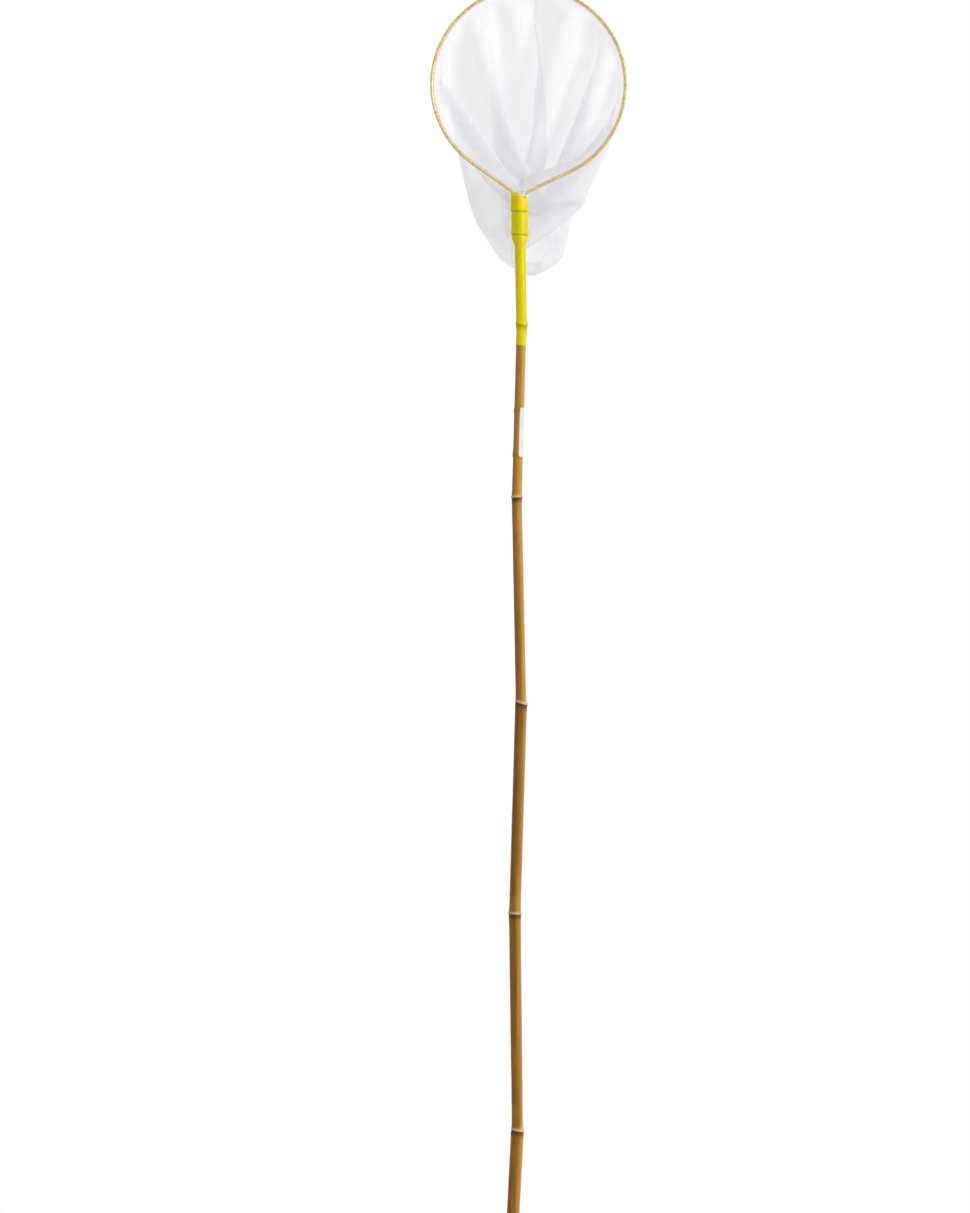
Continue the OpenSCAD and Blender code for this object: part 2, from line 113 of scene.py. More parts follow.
def make_shape(name, points, faces, material, merge=False, uv=None, **attributes):
    """A shown object from an array of points and one of faces. merge closes poles and seams, by joining the
    points that lie on each other; uv is a pair of numbers for each corner of each face; attributes are
    numbers for each point."""
    mesh = bpy.data.meshes.new(name)
    mesh.from_pydata(points.reshape(-1, 3).tolist(), [], faces.tolist())
    for title, values in attributes.items():
        layer = mesh.attributes.new(title, "FLOAT", "POINT")
        layer.data.foreach_set("value", np.ascontiguousarray(values, np.float32).ravel())
    if uv is not None:
        mesh.uv_layers.new(name="cloth").data.foreach_set("uv", uv.astype(np.float32).ravel())
    if merge:
        shell = bmesh.new()
        shell.from_mesh(mesh)
        bmesh.ops.remove_doubles(shell, verts=shell.verts, dist=1e-7)
        shell.to_mesh(mesh)
        shell.free()
    mesh.polygons.foreach_set("use_smooth", np.ones(len(mesh.polygons), bool))
    mesh.materials.append(material)
    return show(name, mesh)


def make_piece(name, points, faces, material, slot, node, **more):
    """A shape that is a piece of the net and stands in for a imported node."""
    piece = make_shape(name, points, faces, material, **more)
    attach(piece, "root")
    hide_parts(node)
    return piece


def unit(arrows):
    """Each arrow made one metre long. One of no length stays as it is."""
    return arrows / (np.linalg.norm(arrows, axis=-1, keepdims=True) + 1e-12)


def turns(sides):
    """Angles that share out one full turn evenly."""
    return 2 * math.pi * np.arange(sides) / sides


TUBE_SIDES = 4                      # of a thread, and corners of the face over each of its ends


def thin_tubes(paths, radius):
    """Points and faces of thin tubes along many short paths at once, an array of tube by place by
    (x, y, z): at each place a ring of points round the path, square to the way it runs, and one face over
    each end."""
    way = unit(np.gradient(paths, axis=1))
    least = np.eye(3)[np.abs(way).mean(1).argmin(-1)][:, None]
    one = unit(np.cross(way, least))
    other = np.cross(way, one)
    turn = turns(TUBE_SIDES)[:, None]
    ring = one[:, :, None] * np.cos(turn) + other[:, :, None] * np.sin(turn)
    points = paths[:, :, None] + radius * ring
    count, rings = paths.shape[:2]
    first = np.arange(TUBE_SIDES)
    tube = np.concatenate([grid_faces(rings, TUBE_SIDES), [first[::-1], (rings - 1) * TUBE_SIDES + first]])
    faces = tube + np.arange(count)[:, None, None] * rings * TUBE_SIDES
    return points.reshape(-1, 3), faces.reshape(-1, 4)


def joined(shells):
    """Several shells, each its points and its faces, as one: the faces are numbered on."""
    points, faces = zip(*shells)
    starts = np.cumsum([0, *map(len, points[:-1])])
    return np.concatenate(points), np.concatenate([part + start for part, start in zip(faces, starts)])


def bell(distance, width):
    """A bell curve, 1 at no distance and 0.37 at one width."""
    return np.exp(-(distance / width) ** 2)


def ease(share):
    """A smooth step from 0 to 1 as share goes from 0 to 1."""
    share = np.clip(share, 0, 1)
    return share * share * (3 - 2 * share)


def waves(seed, count, *places):
    """A wavy pattern, mostly between -1.5 and 1.5: the sum of count sine waves over the root of count, each
    with random whole numbers of turns along each of the places and a random start."""
    draw = np.random.default_rng(seed)
    total = 0
    for _ in range(count):
        phase = draw.uniform(0, 2 * math.pi)
        for place, least, most in places:
            phase = phase + draw.choice([-1, 1]) * draw.integers(least, most + 1) * place
        total = total + np.sin(phase)
    return total / math.sqrt(count)


# --- Materials ---

def colour(red, green, blue):
    """A colour given as it looks on a screen, 0 to 255, as the numbers that a shader takes."""
    shares = np.array([red, green, blue]) / 255
    return (*np.where(shares < 0.04045, shares / 12.92, ((shares + 0.055) / 1.055) ** 2.4), 1.0)


def add_node(tree, kind, sockets, **settings):
    """A node with its settings and its sockets, each of which gets a number, a colour or another node's
    output."""
    made = tree.nodes.new(kind)
    for name, value in settings.items():
        setattr(made, name, value)
    for socket, value in sockets.items():
        if isinstance(value, bpy.types.NodeSocket):
            tree.links.new(value, made.inputs[socket])
        else:
            made.inputs[socket].default_value = value
    return made


def new_material(name, constants):
    """A material of one Principled shader with those sockets set, its node tree and the shader."""
    material = bpy.data.materials.new(name)
    material.use_nodes = True
    shader = material.node_tree.nodes["Principled BSDF"]
    for socket, value in constants.items():
        shader.inputs[socket].default_value = value
    return material, material.node_tree, shader


def noise(tree, vector, detail, roughness=0.5):
    """Cloudy noise, about 0.3 to 0.7, with one cloud to each unit of the vector."""
    return add_node(tree, "ShaderNodeTexNoise", {
        "Vector": vector, "Scale": 1.0, "Detail": detail, "Roughness": roughness}).outputs[0]


def place_on_piece(tree, stretch):
    """Object coordinates, scaled along x, y and z."""
    where = add_node(tree, "ShaderNodeTexCoord", {}).outputs["Object"]
    return add_node(tree, "ShaderNodeMapping", {"Vector": where, "Scale": stretch}).outputs[0]


def grain(tree, along_x, along_y, along_z, detail, roughness=0.5):
    """Cloudy noise on a piece, with so many clouds in a metre each way."""
    return noise(tree, place_on_piece(tree, (along_x, along_y, along_z)), detail, roughness)


def clouds(tree, in_a_metre, detail, roughness=0.5):
    """Cloudy noise on a piece, as fine in every direction."""
    return grain(tree, in_a_metre, in_a_metre, in_a_metre, detail, roughness)


def ramp(tree, factor, *stops):
    """A colour ramp with stops of (place, red, green, blue)."""
    made = add_node(tree, "ShaderNodeValToRGB", {"Fac": factor})
    band = made.color_ramp.elements
    while len(band) < len(stops):
        band.new(0.5)
    for element, (place, *shade) in zip(band, stops):
        element.position = place
        element.color = colour(*shade)
    return made.outputs[0]


def level(tree, factor, low, high, to_low=0.0, to_high=1.0):
    """A number that goes from to_low to to_high as the factor goes from low to high."""
    return add_node(tree, "ShaderNodeMapRange", {
        "Value": factor, "From Min": low, "From Max": high, "To Min": to_low, "To Max": to_high}).outputs[0]


def arithmetic(tree, operation, one, other):
    """One operation on two numbers."""
    return add_node(tree, "ShaderNodeMath", {0: one, 1: other}, operation=operation).outputs[0]


def blended(tree, factor, one, other):
    """Two colours blended by the factor."""
    return add_node(tree, "ShaderNodeMix", {0: factor, 6: one, 7: other}, data_type="RGBA").outputs[2]


def attribute(tree, name):
    """The number that a piece's points carry under that name."""
    return add_node(tree, "ShaderNodeAttribute", {}, attribute_name=name).outputs["Fac"]


def coloured(tree, shader, tone):
    """Gives the shader that tone."""
    tree.links.new(tone, shader.inputs["Base Color"])


def see_through(tree, opaque, surface):
    """Makes a material show the share opaque of a surface, and for the rest what is behind it."""
    clear = add_node(tree, "ShaderNodeBsdfTransparent", {})
    whole = add_node(tree, "ShaderNodeMixShader", {0: opaque, 1: clear.outputs[0], 2: surface.outputs[0]})
    tree.links.new(whole.outputs[0], tree.nodes["Material Output"].inputs["Surface"])


def bumped(tree, shader, height, depth, strength):
    """Raises the surface in shading by the height, whose whole range is depth."""
    made = add_node(tree, "ShaderNodeBump", {"Height": height, "Strength": strength, "Distance": depth})
    tree.links.new(made.outputs[0], shader.inputs["Normal"])


# --- The cane ---

FOOT_RADII = np.array([6.50, 5.75, 5.95, 5.45, 5.15, 5.25]) / 1000      # of each stretch
HEAD_RADII = np.array([6.60, 6.10, 6.10, 5.15, 5.05, 5.40]) / 1000
FOOT_PALENESS = np.array([0.0, 0.0, 0.1, 0.2, 0.8, 0.8])                # of each stretch: -1 is dark, 1 pale
HEAD_PALENESS = np.array([0.0, 0.0, -0.7, 0.5, 0.8, 0.8])
JOINT_SLANTS = np.array([1.1, 0.3, 2.0, -0.3, 1.2]) / 1000              # drop of a joint's line on the right
JOINT_RIDGES = np.array([0.55, 0.70, 0.45, 0.75, 0.55]) / 1000
JOINT_BUDS = np.array([0.7, 0.0, 0.9, 0.0, 0.6]) / 1000                 # bump on the right, above the line
JOINT_GAP = 0.003                   # on both sides of a joint, between the tapers of its stretches
RIDGE_UP, RIDGE_WIDTH = 0.0012, 0.0015                  # above the joint's line
GROOVE_DOWN, GROOVE_WIDTH, GROOVE_DEPTH = 0.0009, 0.0005, 0.00035
FLARE_WIDTH, FLARE_RISE = 0.0055, 0.0003
BUD_TURN = -0.35                    # from +X to the bud, in radians, and so are the spreads round it
BUD_SPREAD, BUD_PALE_SPREAD, HOLLOW_SPREAD = 0.45, 0.5, 0.4
BUD_UP, BUD_WIDTH = 0.0028, 0.0024                      # above the joint's line
HOLLOW_DEPTH, HOLLOW_LENGTH = 0.15, 0.09                # over the bud, as a share of the bud's height
SCAR_AND_SHADE_BAND, SCAR_AND_SHADE_FADE = 0.0042, 0.009                    # height of the dark band and of the fading below
CORNER_ROUNDING = 0.006
PAST_TOP = 0.02                     # how far the cane's middle line goes on past its top
CANE_SIDES = 56
BEVEL = 0.0004                      # of the sawn ends
RING_STEP, JOINT_RING_STEP = 0.006, 0.0004              # between rings of points, and near a joint
JOINT_REACH = 0.009                 # how far from a joint the fine rings go


def cane_line(place):
    """Middle of the cane at distances from the butt, and its lean there: straight stretches, the last of
    which goes on past the top, with each corner rounded by a mean over a short way."""
    line_ends = np.concatenate([[0], JOINT_PLACES, [CANE_LENGTH + PAST_TOP]])
    corners = np.concatenate([CORNERS[:-1], [ahead(*CANE_TOP, TOP_LEAN, PAST_TOP)]])
    reach = np.minimum(CORNER_ROUNDING, place)[..., None]
    near = place[..., None] + reach * np.linspace(-1, 1, 7)
    stretch = np.clip(np.searchsorted(line_ends, near, "right") - 1, 0, len(STRETCH_LEANS) - 1)
    x = np.interp(near, line_ends, corners[:, 0]).mean(-1)
    z = np.interp(near, line_ends, corners[:, 1]).mean(-1)
    return x, z, STRETCH_LEANS[stretch].mean(-1)


def on_cane(place, around, radius):
    """Points at a distance from the butt, an angle round the cane from +X towards +Y, and a radius."""
    x, z, lean = cane_line(place)
    across = radius * np.cos(around)
    return np.stack(np.broadcast_arrays(
        x + across * np.cos(lean), radius * np.sin(around), z - across * np.sin(lean)), -1)


def along_stretches(place, feet, heads, foot_gap, head_gap):
    """A value that goes evenly from the foot to the head of each stretch, at distances from the butt. The
    gaps are how far from a stretch's two ends it starts and stops."""
    marks = np.stack([STRETCH_ENDS[:-1] + foot_gap, STRETCH_ENDS[1:] - head_gap], 1).ravel()
    return np.interp(place, marks, np.stack([feet, heads], 1).ravel())


def cane_skin(place, around):
    """Radius of the cane, and how much of a ridge and of a brown scar deepened by painted shade there is. A
    stretch tapers straight from foot to head. Each joint adds a low flare, a ridge and, under it, a narrow
    groove, all bell curves along a line that slants across the cane, and on some joints a bud above the line
    on the right, with a shallow hollow over it. The scar with its painted shade sets in at the line, is dark
    for 4 mm, weaker on the right, which faces the key lamp, and darker on the left, away from it, and fades
    downwards as an exponential does."""
    radius = along_stretches(place, FOOT_RADII, HEAD_RADII, JOINT_GAP, JOINT_GAP) + 0 * around
    beside = (around - BUD_TURN + math.pi) % (2 * math.pi) - math.pi
    ridge = scar = 0
    for joint, slant, rise, bud in zip(JOINT_PLACES, JOINT_SLANTS, JOINT_RIDGES, JOINT_BUDS):
        above = place - joint + slant * np.cos(around)
        below = np.maximum(-above, 0)
        on_ridge = bell(above - RIDGE_UP, RIDGE_WIDTH)
        hollow = HOLLOW_DEPTH * bell(beside, HOLLOW_SPREAD) * (
            ease((above - 0.004) / 0.01) * bell(above, HOLLOW_LENGTH))
        radius += (rise * on_ridge + FLARE_RISE * bell(above, FLARE_WIDTH)
                   - GROOVE_DEPTH * bell(above + GROOVE_DOWN, GROOVE_WIDTH)
                   + bud * (bell(beside, BUD_SPREAD) * bell(above - BUD_UP, BUD_WIDTH) - hollow))
        pale_bud = bell(beside, BUD_PALE_SPREAD) * bell(above - 0.0035, 0.003)
        ridge = ridge + on_ridge + pale_bud * (bud > 0)
        # Painted shade under the ridge: the band is darker on the side away from the key lamp and weaker on
        # the lit side.
        band = (0.66 - 0.12 * np.cos(around)) * np.exp(-(below / SCAR_AND_SHADE_BAND) ** 3)
        scar = scar + ease((0.0007 - above) / 0.0006) * (0.28 * np.exp(-below / SCAR_AND_SHADE_FADE) + band)
    return radius + 0.00004 * waves(5, 5, (around, 1, 4), (place * 40, 1, 5)), ridge, scar


def make_cane():
    """The cane's skin, its two sawn ends and the pith bore in each, as one closed shape: rings that start at
    the end of the lower bore, come out of it, go up the skin and down into the upper bore."""
    close = [joint + np.arange(-JOINT_REACH, JOINT_REACH + 0.0001, JOINT_RING_STEP) for joint in JOINT_PLACES]
    up = np.unique(np.round(np.concatenate([np.arange(BEVEL, CANE_LENGTH - BEVEL, RING_STEP), *close]), 6))
    upper_bore = CANE_LENGTH - TOP_BORE_DEPTH
    place = np.concatenate([[BUTT_BORE_DEPTH, BUTT_BORE_DEPTH, 0, 0], up,
                            [CANE_LENGTH - BEVEL, CANE_LENGTH, CANE_LENGTH, upper_bore, upper_bore]])[:, None]
    around = turns(CANE_SIDES)[None]
    radius, ridge, scar = cane_skin(place, around)
    radius[[3, -4]] -= BEVEL
    radius[:3] = np.array([0, BUTT_BORE_R, BUTT_BORE_R])[:, None]
    radius[-3:] = np.array([TOP_BORE_R, TOP_BORE_R, 0])[:, None]
    cut = np.zeros_like(radius)
    cut[:4] = cut[-4:] = 1
    pale = along_stretches(place, FOOT_PALENESS, HEAD_PALENESS, 0, 0.001) + 0 * around
    # side is the cosine from +X; bamboo() uses it for painted light on the side facing the key lamp and
    # painted shade on the other.
    return make_piece("bamboo_culm", on_cane(place, around, radius), grid_faces(len(place), CANE_SIDES),
                      bamboo(), "bamboo", "cane", merge=True, ridge=ridge, scar=scar, cut=cut,
                      side=np.cos(around) + 0 * place, pale=pale)


def bamboo():
    """Varnished bamboo skin with painted light on the side at +X, which faces the key lamp, and painted shade
    on
    the other: fine streaks along the cane, clouds of darker and paler tan, short dark specks, pale ridges at
    the joints with dark lines under them, the joints' brown scar deepened by painted shade, and pale end
    grain with dark dots where it is sawn."""
    material, tree, shader = new_material("bamboo", {
        "Coat Weight": 0.12, "Coat Roughness": 0.22, "Specular IOR Level": 0.14})
    streaks = grain(tree, 1400, 1400, 22, 3.0)
    bands = grain(tree, 260, 260, 6, 3.0)
    cloud = grain(tree, 60, 60, 24, 4.0, 0.6)
    skin = ramp(tree, bands, (0.3, 122, 76, 4), (0.5, 150, 98, 10), (0.72, 182, 134, 34))
    pale, side = attribute(tree, "pale"), attribute(tree, "side")
    for factor, low, high, most, tone in (
            (streaks, 0.35, 0.65, 0.55, colour(126, 80, 8)), (cloud, 0.5, 0.75, 0.5, colour(196, 152, 60)),
            (pale, 0.0, 1.0, 0.6, colour(206, 158, 66)), (pale, 0.0, -1.0, 0.5, colour(98, 56, 2)),
            # Painted light and shade: the side at +X, facing the key lamp, is lightened towards a lit tan,
            # and the other side is darkened towards a shaded brown.
            (side, 0.1, 0.9, 0.5, colour(222, 178, 90)), (side, 0.0, -0.9, 0.35, colour(104, 62, 2))):
        skin = blended(tree, level(tree, factor, low, high, 0.0, most), skin, tone)
    spots = add_node(tree, "ShaderNodeTexVoronoi", {
        "Vector": place_on_piece(tree, (420, 420, 90)), "Scale": 1.0}).outputs["Distance"]
    some = level(tree, grain(tree, 90, 90, 40, 1.0), 0.5, 0.62)
    specks = arithmetic(tree, "MULTIPLY", level(tree, spots, 0.22, 0.10), some)
    ragged = clouds(tree, 500, 3.0)
    for factor, share, tone in (
            (specks, 0.7, colour(62, 34, 8)),
            (attribute(tree, "ridge"), level(tree, ragged, 0.25, 0.6, 0.55, 0.95), colour(226, 190, 128)),
            # the joints' brown scar, deepened by painted shade under each ridge
            (attribute(tree, "scar"), level(tree, ragged, 0.25, 0.6, 0.85, 1.0), colour(62, 32, 4))):
        skin = blended(tree, arithmetic(tree, "MULTIPLY", factor, share), skin, tone)
    sawn = ramp(tree, grain(tree, 1500, 1500, 40, 1.0), (0.42, 205, 178, 120), (0.6, 120, 84, 40))
    coloured(tree, shader, blended(tree, attribute(tree, "cut"), skin, sawn))
    tree.links.new(level(tree, cloud, 0.3, 0.7, 0.34, 0.52), shader.inputs["Roughness"])
    height = arithmetic(tree, "ADD", streaks, arithmetic(tree, "MULTIPLY", specks, -0.6))
    bumped(tree, shader, height, 0.0002, 0.6)
    return material


# --- The shrink sleeve ---

FILM = 0.00035                      # thickness of the shrunk film
SLEEVE_FOOT = CANE_LENGTH - 0.1531
SLEEVE_TOP = CANE_LENGTH + 0.0022
FILM_DRAPE = 0.008                  # over which the film comes back to the cane under the tips
BETWEEN_TANGS = 0.0017              # how far the film is from the middle, above the cane's sawn top
RING_HALF = 0.0024                  # half the height of the ring over a lashing
WAIST_DOWN, WAIST_WIDTH, WAIST_DEPTH = 0.0042, 0.0014, 0.00035      # under each ring, as a bell curve
# Sizes of the line of painted shade under each ring.
SHADE_LINE_DOWN, SHADE_LINE_SLANT, SHADE_LINE_WIDTH = 0.0031, 0.0004, 0.0006    # dark line under each ring
LEAST_FACING = 0.25                 # least cosine at which a pressing plane counts
SLEEVE_SIDES = 96


def film_reach(place, toward):
    """How far the film's outside lies from the cane's middle in each direction that it is pressed from: over
    the cane, which above its sawn top gives way to the gap between the tangs; over the two tangs, which end
    in a drape down to the cane; and over the lashings' two rings, with a waist drawn in under each."""
    over = place - CANE_LENGTH
    cane = np.mean([cane_skin(np.minimum(place + step, CANE_LENGTH), toward)[0]
                    for step in (-0.0007, 0, 0.0007)], 0)
    cane = cane + (BETWEEN_TANGS - cane) * ease((over - 0.0002) / 0.0042)
    tangs = TANG_X * np.abs(np.cos(toward)) + COAT_R
    beside = ease((over + TANG_DEPTH + FILM_DRAPE) / FILM_DRAPE)
    reach = np.maximum(cane, cane + (tangs - cane) * beside)
    for depth in LASHING_DEPTHS:
        from_ring = over + depth
        reach = reach + LASHING_D * np.exp(-(from_ring / RING_HALF) ** 4) - WAIST_DEPTH * bell(
            from_ring + WAIST_DOWN, WAIST_WIDTH)
    return reach + FILM


def film_radius(place, around):
    """Radius of the film: at each angle the nearest of the flat tangent planes that press on it, as a tight
    skin round a convex bundle has it, plus fine lengthwise crinkles where it is drawn in and soft dents. It
    never goes closer to the cane than 0.9 of its thickness."""
    toward = turns(SLEEVE_SIDES)
    reach = film_reach(place[..., None], toward)
    facing = np.cos(toward - around[..., None])
    radius = np.where(facing > LEAST_FACING, reach / np.maximum(facing, LEAST_FACING), 1).min(-1)
    over = place - CANE_LENGTH
    drawn_in = ease((over + 0.014) / 0.016) + 0.5 * bell(over + TANG_DEPTH + 0.004, 0.006)
    crinkles = waves(21, 9, (around, 7, 23), (place * 120, 0, 5))
    dents = waves(22, 9, (around, 1, 5), (place * 90, 1, 9))
    on_skin = np.where(over < 0, cane_skin(np.minimum(place, CANE_LENGTH), around)[0] + 0.9 * FILM, 0)
    return np.maximum(radius + 0.00017 * drawn_in * crinkles + 0.00007 * dents, on_skin)


def film_creases(place, around):
    """Where painted shade darkens the film in lines: close under each ring, where it is drawn in, and over
    the groove under the joint's ridge, taken from the cane's scar and its painted shade."""
    creases = 0.9 * cane_skin(np.minimum(place, CANE_LENGTH), around)[2]
    for depth in LASHING_DEPTHS:
        under_ring = place - CANE_LENGTH + depth + SHADE_LINE_DOWN
        creases = creases + bell(under_ring + SHADE_LINE_SLANT * np.cos(around), SHADE_LINE_WIDTH)
    return creases


def make_sleeve():
    """The film as one closed shell: rings up its outside from a nearly level foot to a ragged top edge that
    slants down to the right, over that edge, and down its inside. Foot and edge are sums of sine waves."""
    around = turns(SLEEVE_SIDES)[None]
    foot = SLEEVE_FOOT + 0.0005 * np.sin(2 * around + 0.5) + 0.0003 * np.sin(5 * around + 2)
    top = (SLEEVE_TOP - 0.0031 * np.cos(around) + 0.0006 * np.sin(3 * around + 1)
           + 0.0004 * np.sin(7 * around + 2))
    outside = np.concatenate([np.linspace(0, 0.66, 150), np.linspace(0.66, 1, 151)[1:]])
    share = np.concatenate([outside, np.linspace(1, 0, 60)])[:, None]
    place = foot + (top - foot) * share
    radius = film_radius(place, around + 0 * place)
    radius[len(outside):] -= 0.8 * FILM
    radius[[0, len(outside) - 1]] -= 0.3 * FILM
    faces = grid_faces(len(share), SLEEVE_SIDES, closed_rows=True)
    # This attribute marks where the film gets painted shade.
    return make_piece("shrunk_film", on_cane(place, around, radius), faces, yellow_film(), "sleeve_film",
                      "sleeve", crease=film_creases(place, around))


def yellow_film():
    """Glossy yellow film, a little deeper in tone in soft patches, with painted shade in dark olive along the
    creases under the rings and over the joint, and fine crinkles that catch the light."""
    material, tree, shader = new_material("yellow_film", {
        "Roughness": 0.36, "Coat Weight": 0.05, "Coat Roughness": 0.16, "Specular IOR Level": 0.12})
    tone = ramp(tree, grain(tree, 110, 110, 50, 3.0), (0.35, 222, 202, 0), (0.7, 233, 216, 2))
    ragged = level(tree, clouds(tree, 420, 2.0), 0.3, 0.6, 0.35, 0.9)
    # Painted shade: the film is darkened towards olive brown along its creases.
    crease = arithmetic(tree, "MULTIPLY", attribute(tree, "crease"), ragged)
    coloured(tree, shader, blended(tree, crease, tone, colour(150, 112, 0)))
    bumped(tree, shader, grain(tree, 520, 520, 170, 3.0, 0.55), 0.0005, 0.35)
    return material


# --- The label ---

PAPER = 0.00016                     # thickness of the paper
UNDER_PAPER = 0.00004               # of glue
LABEL_CORNER = 0.0018               # radius of its corners
LABEL_ROWS, LABEL_COLUMNS = 40, 60


def make_label():
    """A blank label as a thin closed shell: an arc round the cane, upright, with rounded corners that lift
    off a little."""
    share, height = np.meshgrid(np.linspace(0, 1, LABEL_COLUMNS), np.linspace(0, 1, LABEL_ROWS))
    from_edge = LABEL_WIDTH * np.minimum(share, 1 - share)
    inward = np.clip(1 - from_edge / LABEL_CORNER, 0, 1)
    trim = LABEL_CORNER * (1 - np.sqrt(1 - inward ** 2))
    place = JOINT_PLACES[3] + LABEL_UP + trim + (LABEL_HEIGHT - 2 * trim) * height
    skin = cane_skin(place, 0 * place + math.pi / 2)[0]
    around = LABEL_TURN + share * LABEL_WIDTH / skin.mean()
    from_corner = np.hypot(from_edge, LABEL_HEIGHT * np.minimum(height, 1 - height))
    lift = 0.0006 * bell(from_corner, 0.004) + 0.00012 * bell(from_edge, 0.0015)
    wrinkle = 0.00003 * waves(31, 6, (around, 1, 6), (place * 150, 1, 4))
    radius = skin + UNDER_PAPER + lift + wrinkle
    points = [on_cane(place, around, radius + PAPER), on_cane(place, around, radius)]
    return make_piece("blank_label", np.stack(points), sheet_faces(LABEL_ROWS, LABEL_COLUMNS), label_paper(),
                      "label_paper", "price_label")


def sheet_faces(rows, columns):
    """Faces of a thin closed shell between two grids of points, the outside's and then the inside's, joined
    along all four edges. The outside's rows and columns run so that its faces point out."""
    skin = grid_faces(rows, columns, closed_columns=False)
    count = rows * columns
    index = np.arange(count).reshape(rows, columns)
    border = np.concatenate([index[0, :-1], index[:-1, -1], index[-1, :0:-1], index[:0:-1, 0]])
    beside = np.roll(border, -1)
    edge = np.stack([border, border + count, beside + count, beside], -1)
    return np.concatenate([skin, skin[:, ::-1] + count, edge])


def label_paper():
    """Matt white paper, slightly warm, with a faint cloud in its tone and a fine grain of fibres."""
    material, tree, shader = new_material("label_paper", {"Roughness": 0.55, "Specular IOR Level": 0.35})
    coloured(tree, shader, ramp(tree, clouds(tree, 90, 2.0), (0.3, 224, 216, 208), (0.7, 236, 229, 223)))
    bumped(tree, shader, clouds(tree, 700, 4.0, 0.6), 0.0001, 0.4)
    return material


# --- The rim: the hem that wraps the wire, and its stitching ---

HEM_START = 0.019                   # along the rim from the middle of the neck to the hem's end
HEM_WRAP = 0.00147                  # radius of the hem round the wire
HEM_TAIL = 0.0009                   # what the sewn tail adds on the inside of the hoop
HEM_PLACES, HEM_SIDES = 640, 20     # points along the hem and round it
STITCH_INSET = HEM_WRAP + HEM_TAIL - 0.0003     # from the middle of the wire to the stitch line
RIM_BEHIND = 0.0012                 # distance of the stitch line behind the middle of the wire
RIM_CROSSING = 0.0015               # height above the neck at which the rim crosses between the legs
THREAD_R = 0.00017
STITCH_START = HEM_START + 0.002    # along the rim from the middle of the neck to the first stitch
LOOP_PITCH = 0.0046                 # of the loops of thread over the hem
LOOP_PLACES = 9                     # points along each loop
LOOP_SHIFT = 0.0005                 # most that a loop lies off its place along the rim
LOOP_SLANT = (0.0002, 0.0016)       # least and most that a loop's end lies further along than its start
LOOP_START, LOOP_SWEEP = -28, -304  # degrees round the wire from inward, towards the front
LOCK_PITCH = 0.0031                 # of the lock stitches along the hem's tail
STITCH_LENGTH = 0.0023
STITCH_PLACES = 5                   # points along each short stitch
STITCH_ARCH = 0.00018               # how far the ends of a lock stitch lie behind its middle


def leaning(x, z):
    """Points of the hoop's own upright plane, measured from the neck, turned by the hoop's lean."""
    return (NECK[0] + x * math.cos(HOOP_LEAN) + z * math.sin(HOOP_LEAN),
            NECK[1] - x * math.sin(HOOP_LEAN) + z * math.cos(HOOP_LEAN))


def rim_line(share, inset):
    """The rim at shares of its length from the neck up the right leg, over the top and back: level over the
    neck, straight along a leg, then an arc of the hoop, mirrored for the left half. It lies inset inside the
    wire. Returns x and z, and the rim's whole length."""
    radius = HOOP_R - inset
    tangent = LEG_RISE - math.pi / 2
    end = np.array([radius * math.cos(tangent), HOOP_UP + radius * math.sin(tangent)])
    crossing = max(RIM_CROSSING, end[1] - end[0] * math.tan(LEG_RISE))
    start = end[0] - (end[1] - crossing) / math.tan(LEG_RISE)
    leg = math.hypot(end[0] - start, end[1] - crossing)
    half = start + leg + radius * (math.pi / 2 - tangent)
    gone = (np.asarray(share) % 1) * 2 * half
    side = np.where(gone <= half, 1, -1)
    gone = np.minimum(gone, 2 * half - gone)
    up_leg = (gone - start) / leg
    turned = tangent + (gone - start - leg) / radius
    x = np.where(gone < start, gone,
                 np.where(up_leg < 1, start + (end[0] - start) * up_leg, radius * np.cos(turned)))
    z = np.where(gone < start, crossing, np.where(
        up_leg < 1, crossing + (end[1] - crossing) * up_leg, HOOP_UP + radius * np.sin(turned)))
    return *leaning(side * x, z), 2 * half


RIM_LENGTH = rim_line(0.0, 0.0)[2]


def rim_frame(gone):
    """Middle of the wire at distances along the rim, and the direction from it into the hoop."""
    step = 0.0005
    here, on, back = (np.stack(rim_line((gone + by) / RIM_LENGTH, 0.0)[:2], -1) for by in (0, step, -step))
    along = on - back
    zero = np.zeros(np.shape(gone))
    return (np.stack([here[..., 0], zero, here[..., 1]], -1),
            unit(np.stack([-along[..., 1], zero, along[..., 0]], -1)))


def round_hem(gone, turn, extra):
    """Points round the hem at distances along the rim and angles from inward to the back: a circle round the
    wire, drawn out inwards and to the back into a thin tail, with puckers where the cloth is gathered."""
    middle, inward = rim_frame(gone)
    place = 2 * math.pi * gone / RIM_LENGTH
    pucker = waves(41, 8, (place, 60, 150), (turn, 0, 2))
    wrap = HEM_WRAP * (1 + 0.08 * ease((pucker + 1) / 2)) + extra
    tail = np.maximum(0, np.cos(turn))
    reach = wrap * np.cos(turn) + HEM_TAIL * (1 + 0.12 * waves(42, 8, (place, 50, 130))) * tail ** 3
    behind = wrap * np.sin(turn) * (1 - 0.8 * tail ** 2) + RIM_BEHIND * tail ** 3
    return middle + inward * reach[..., None] + np.array([0, 1, 0]) * behind[..., None]


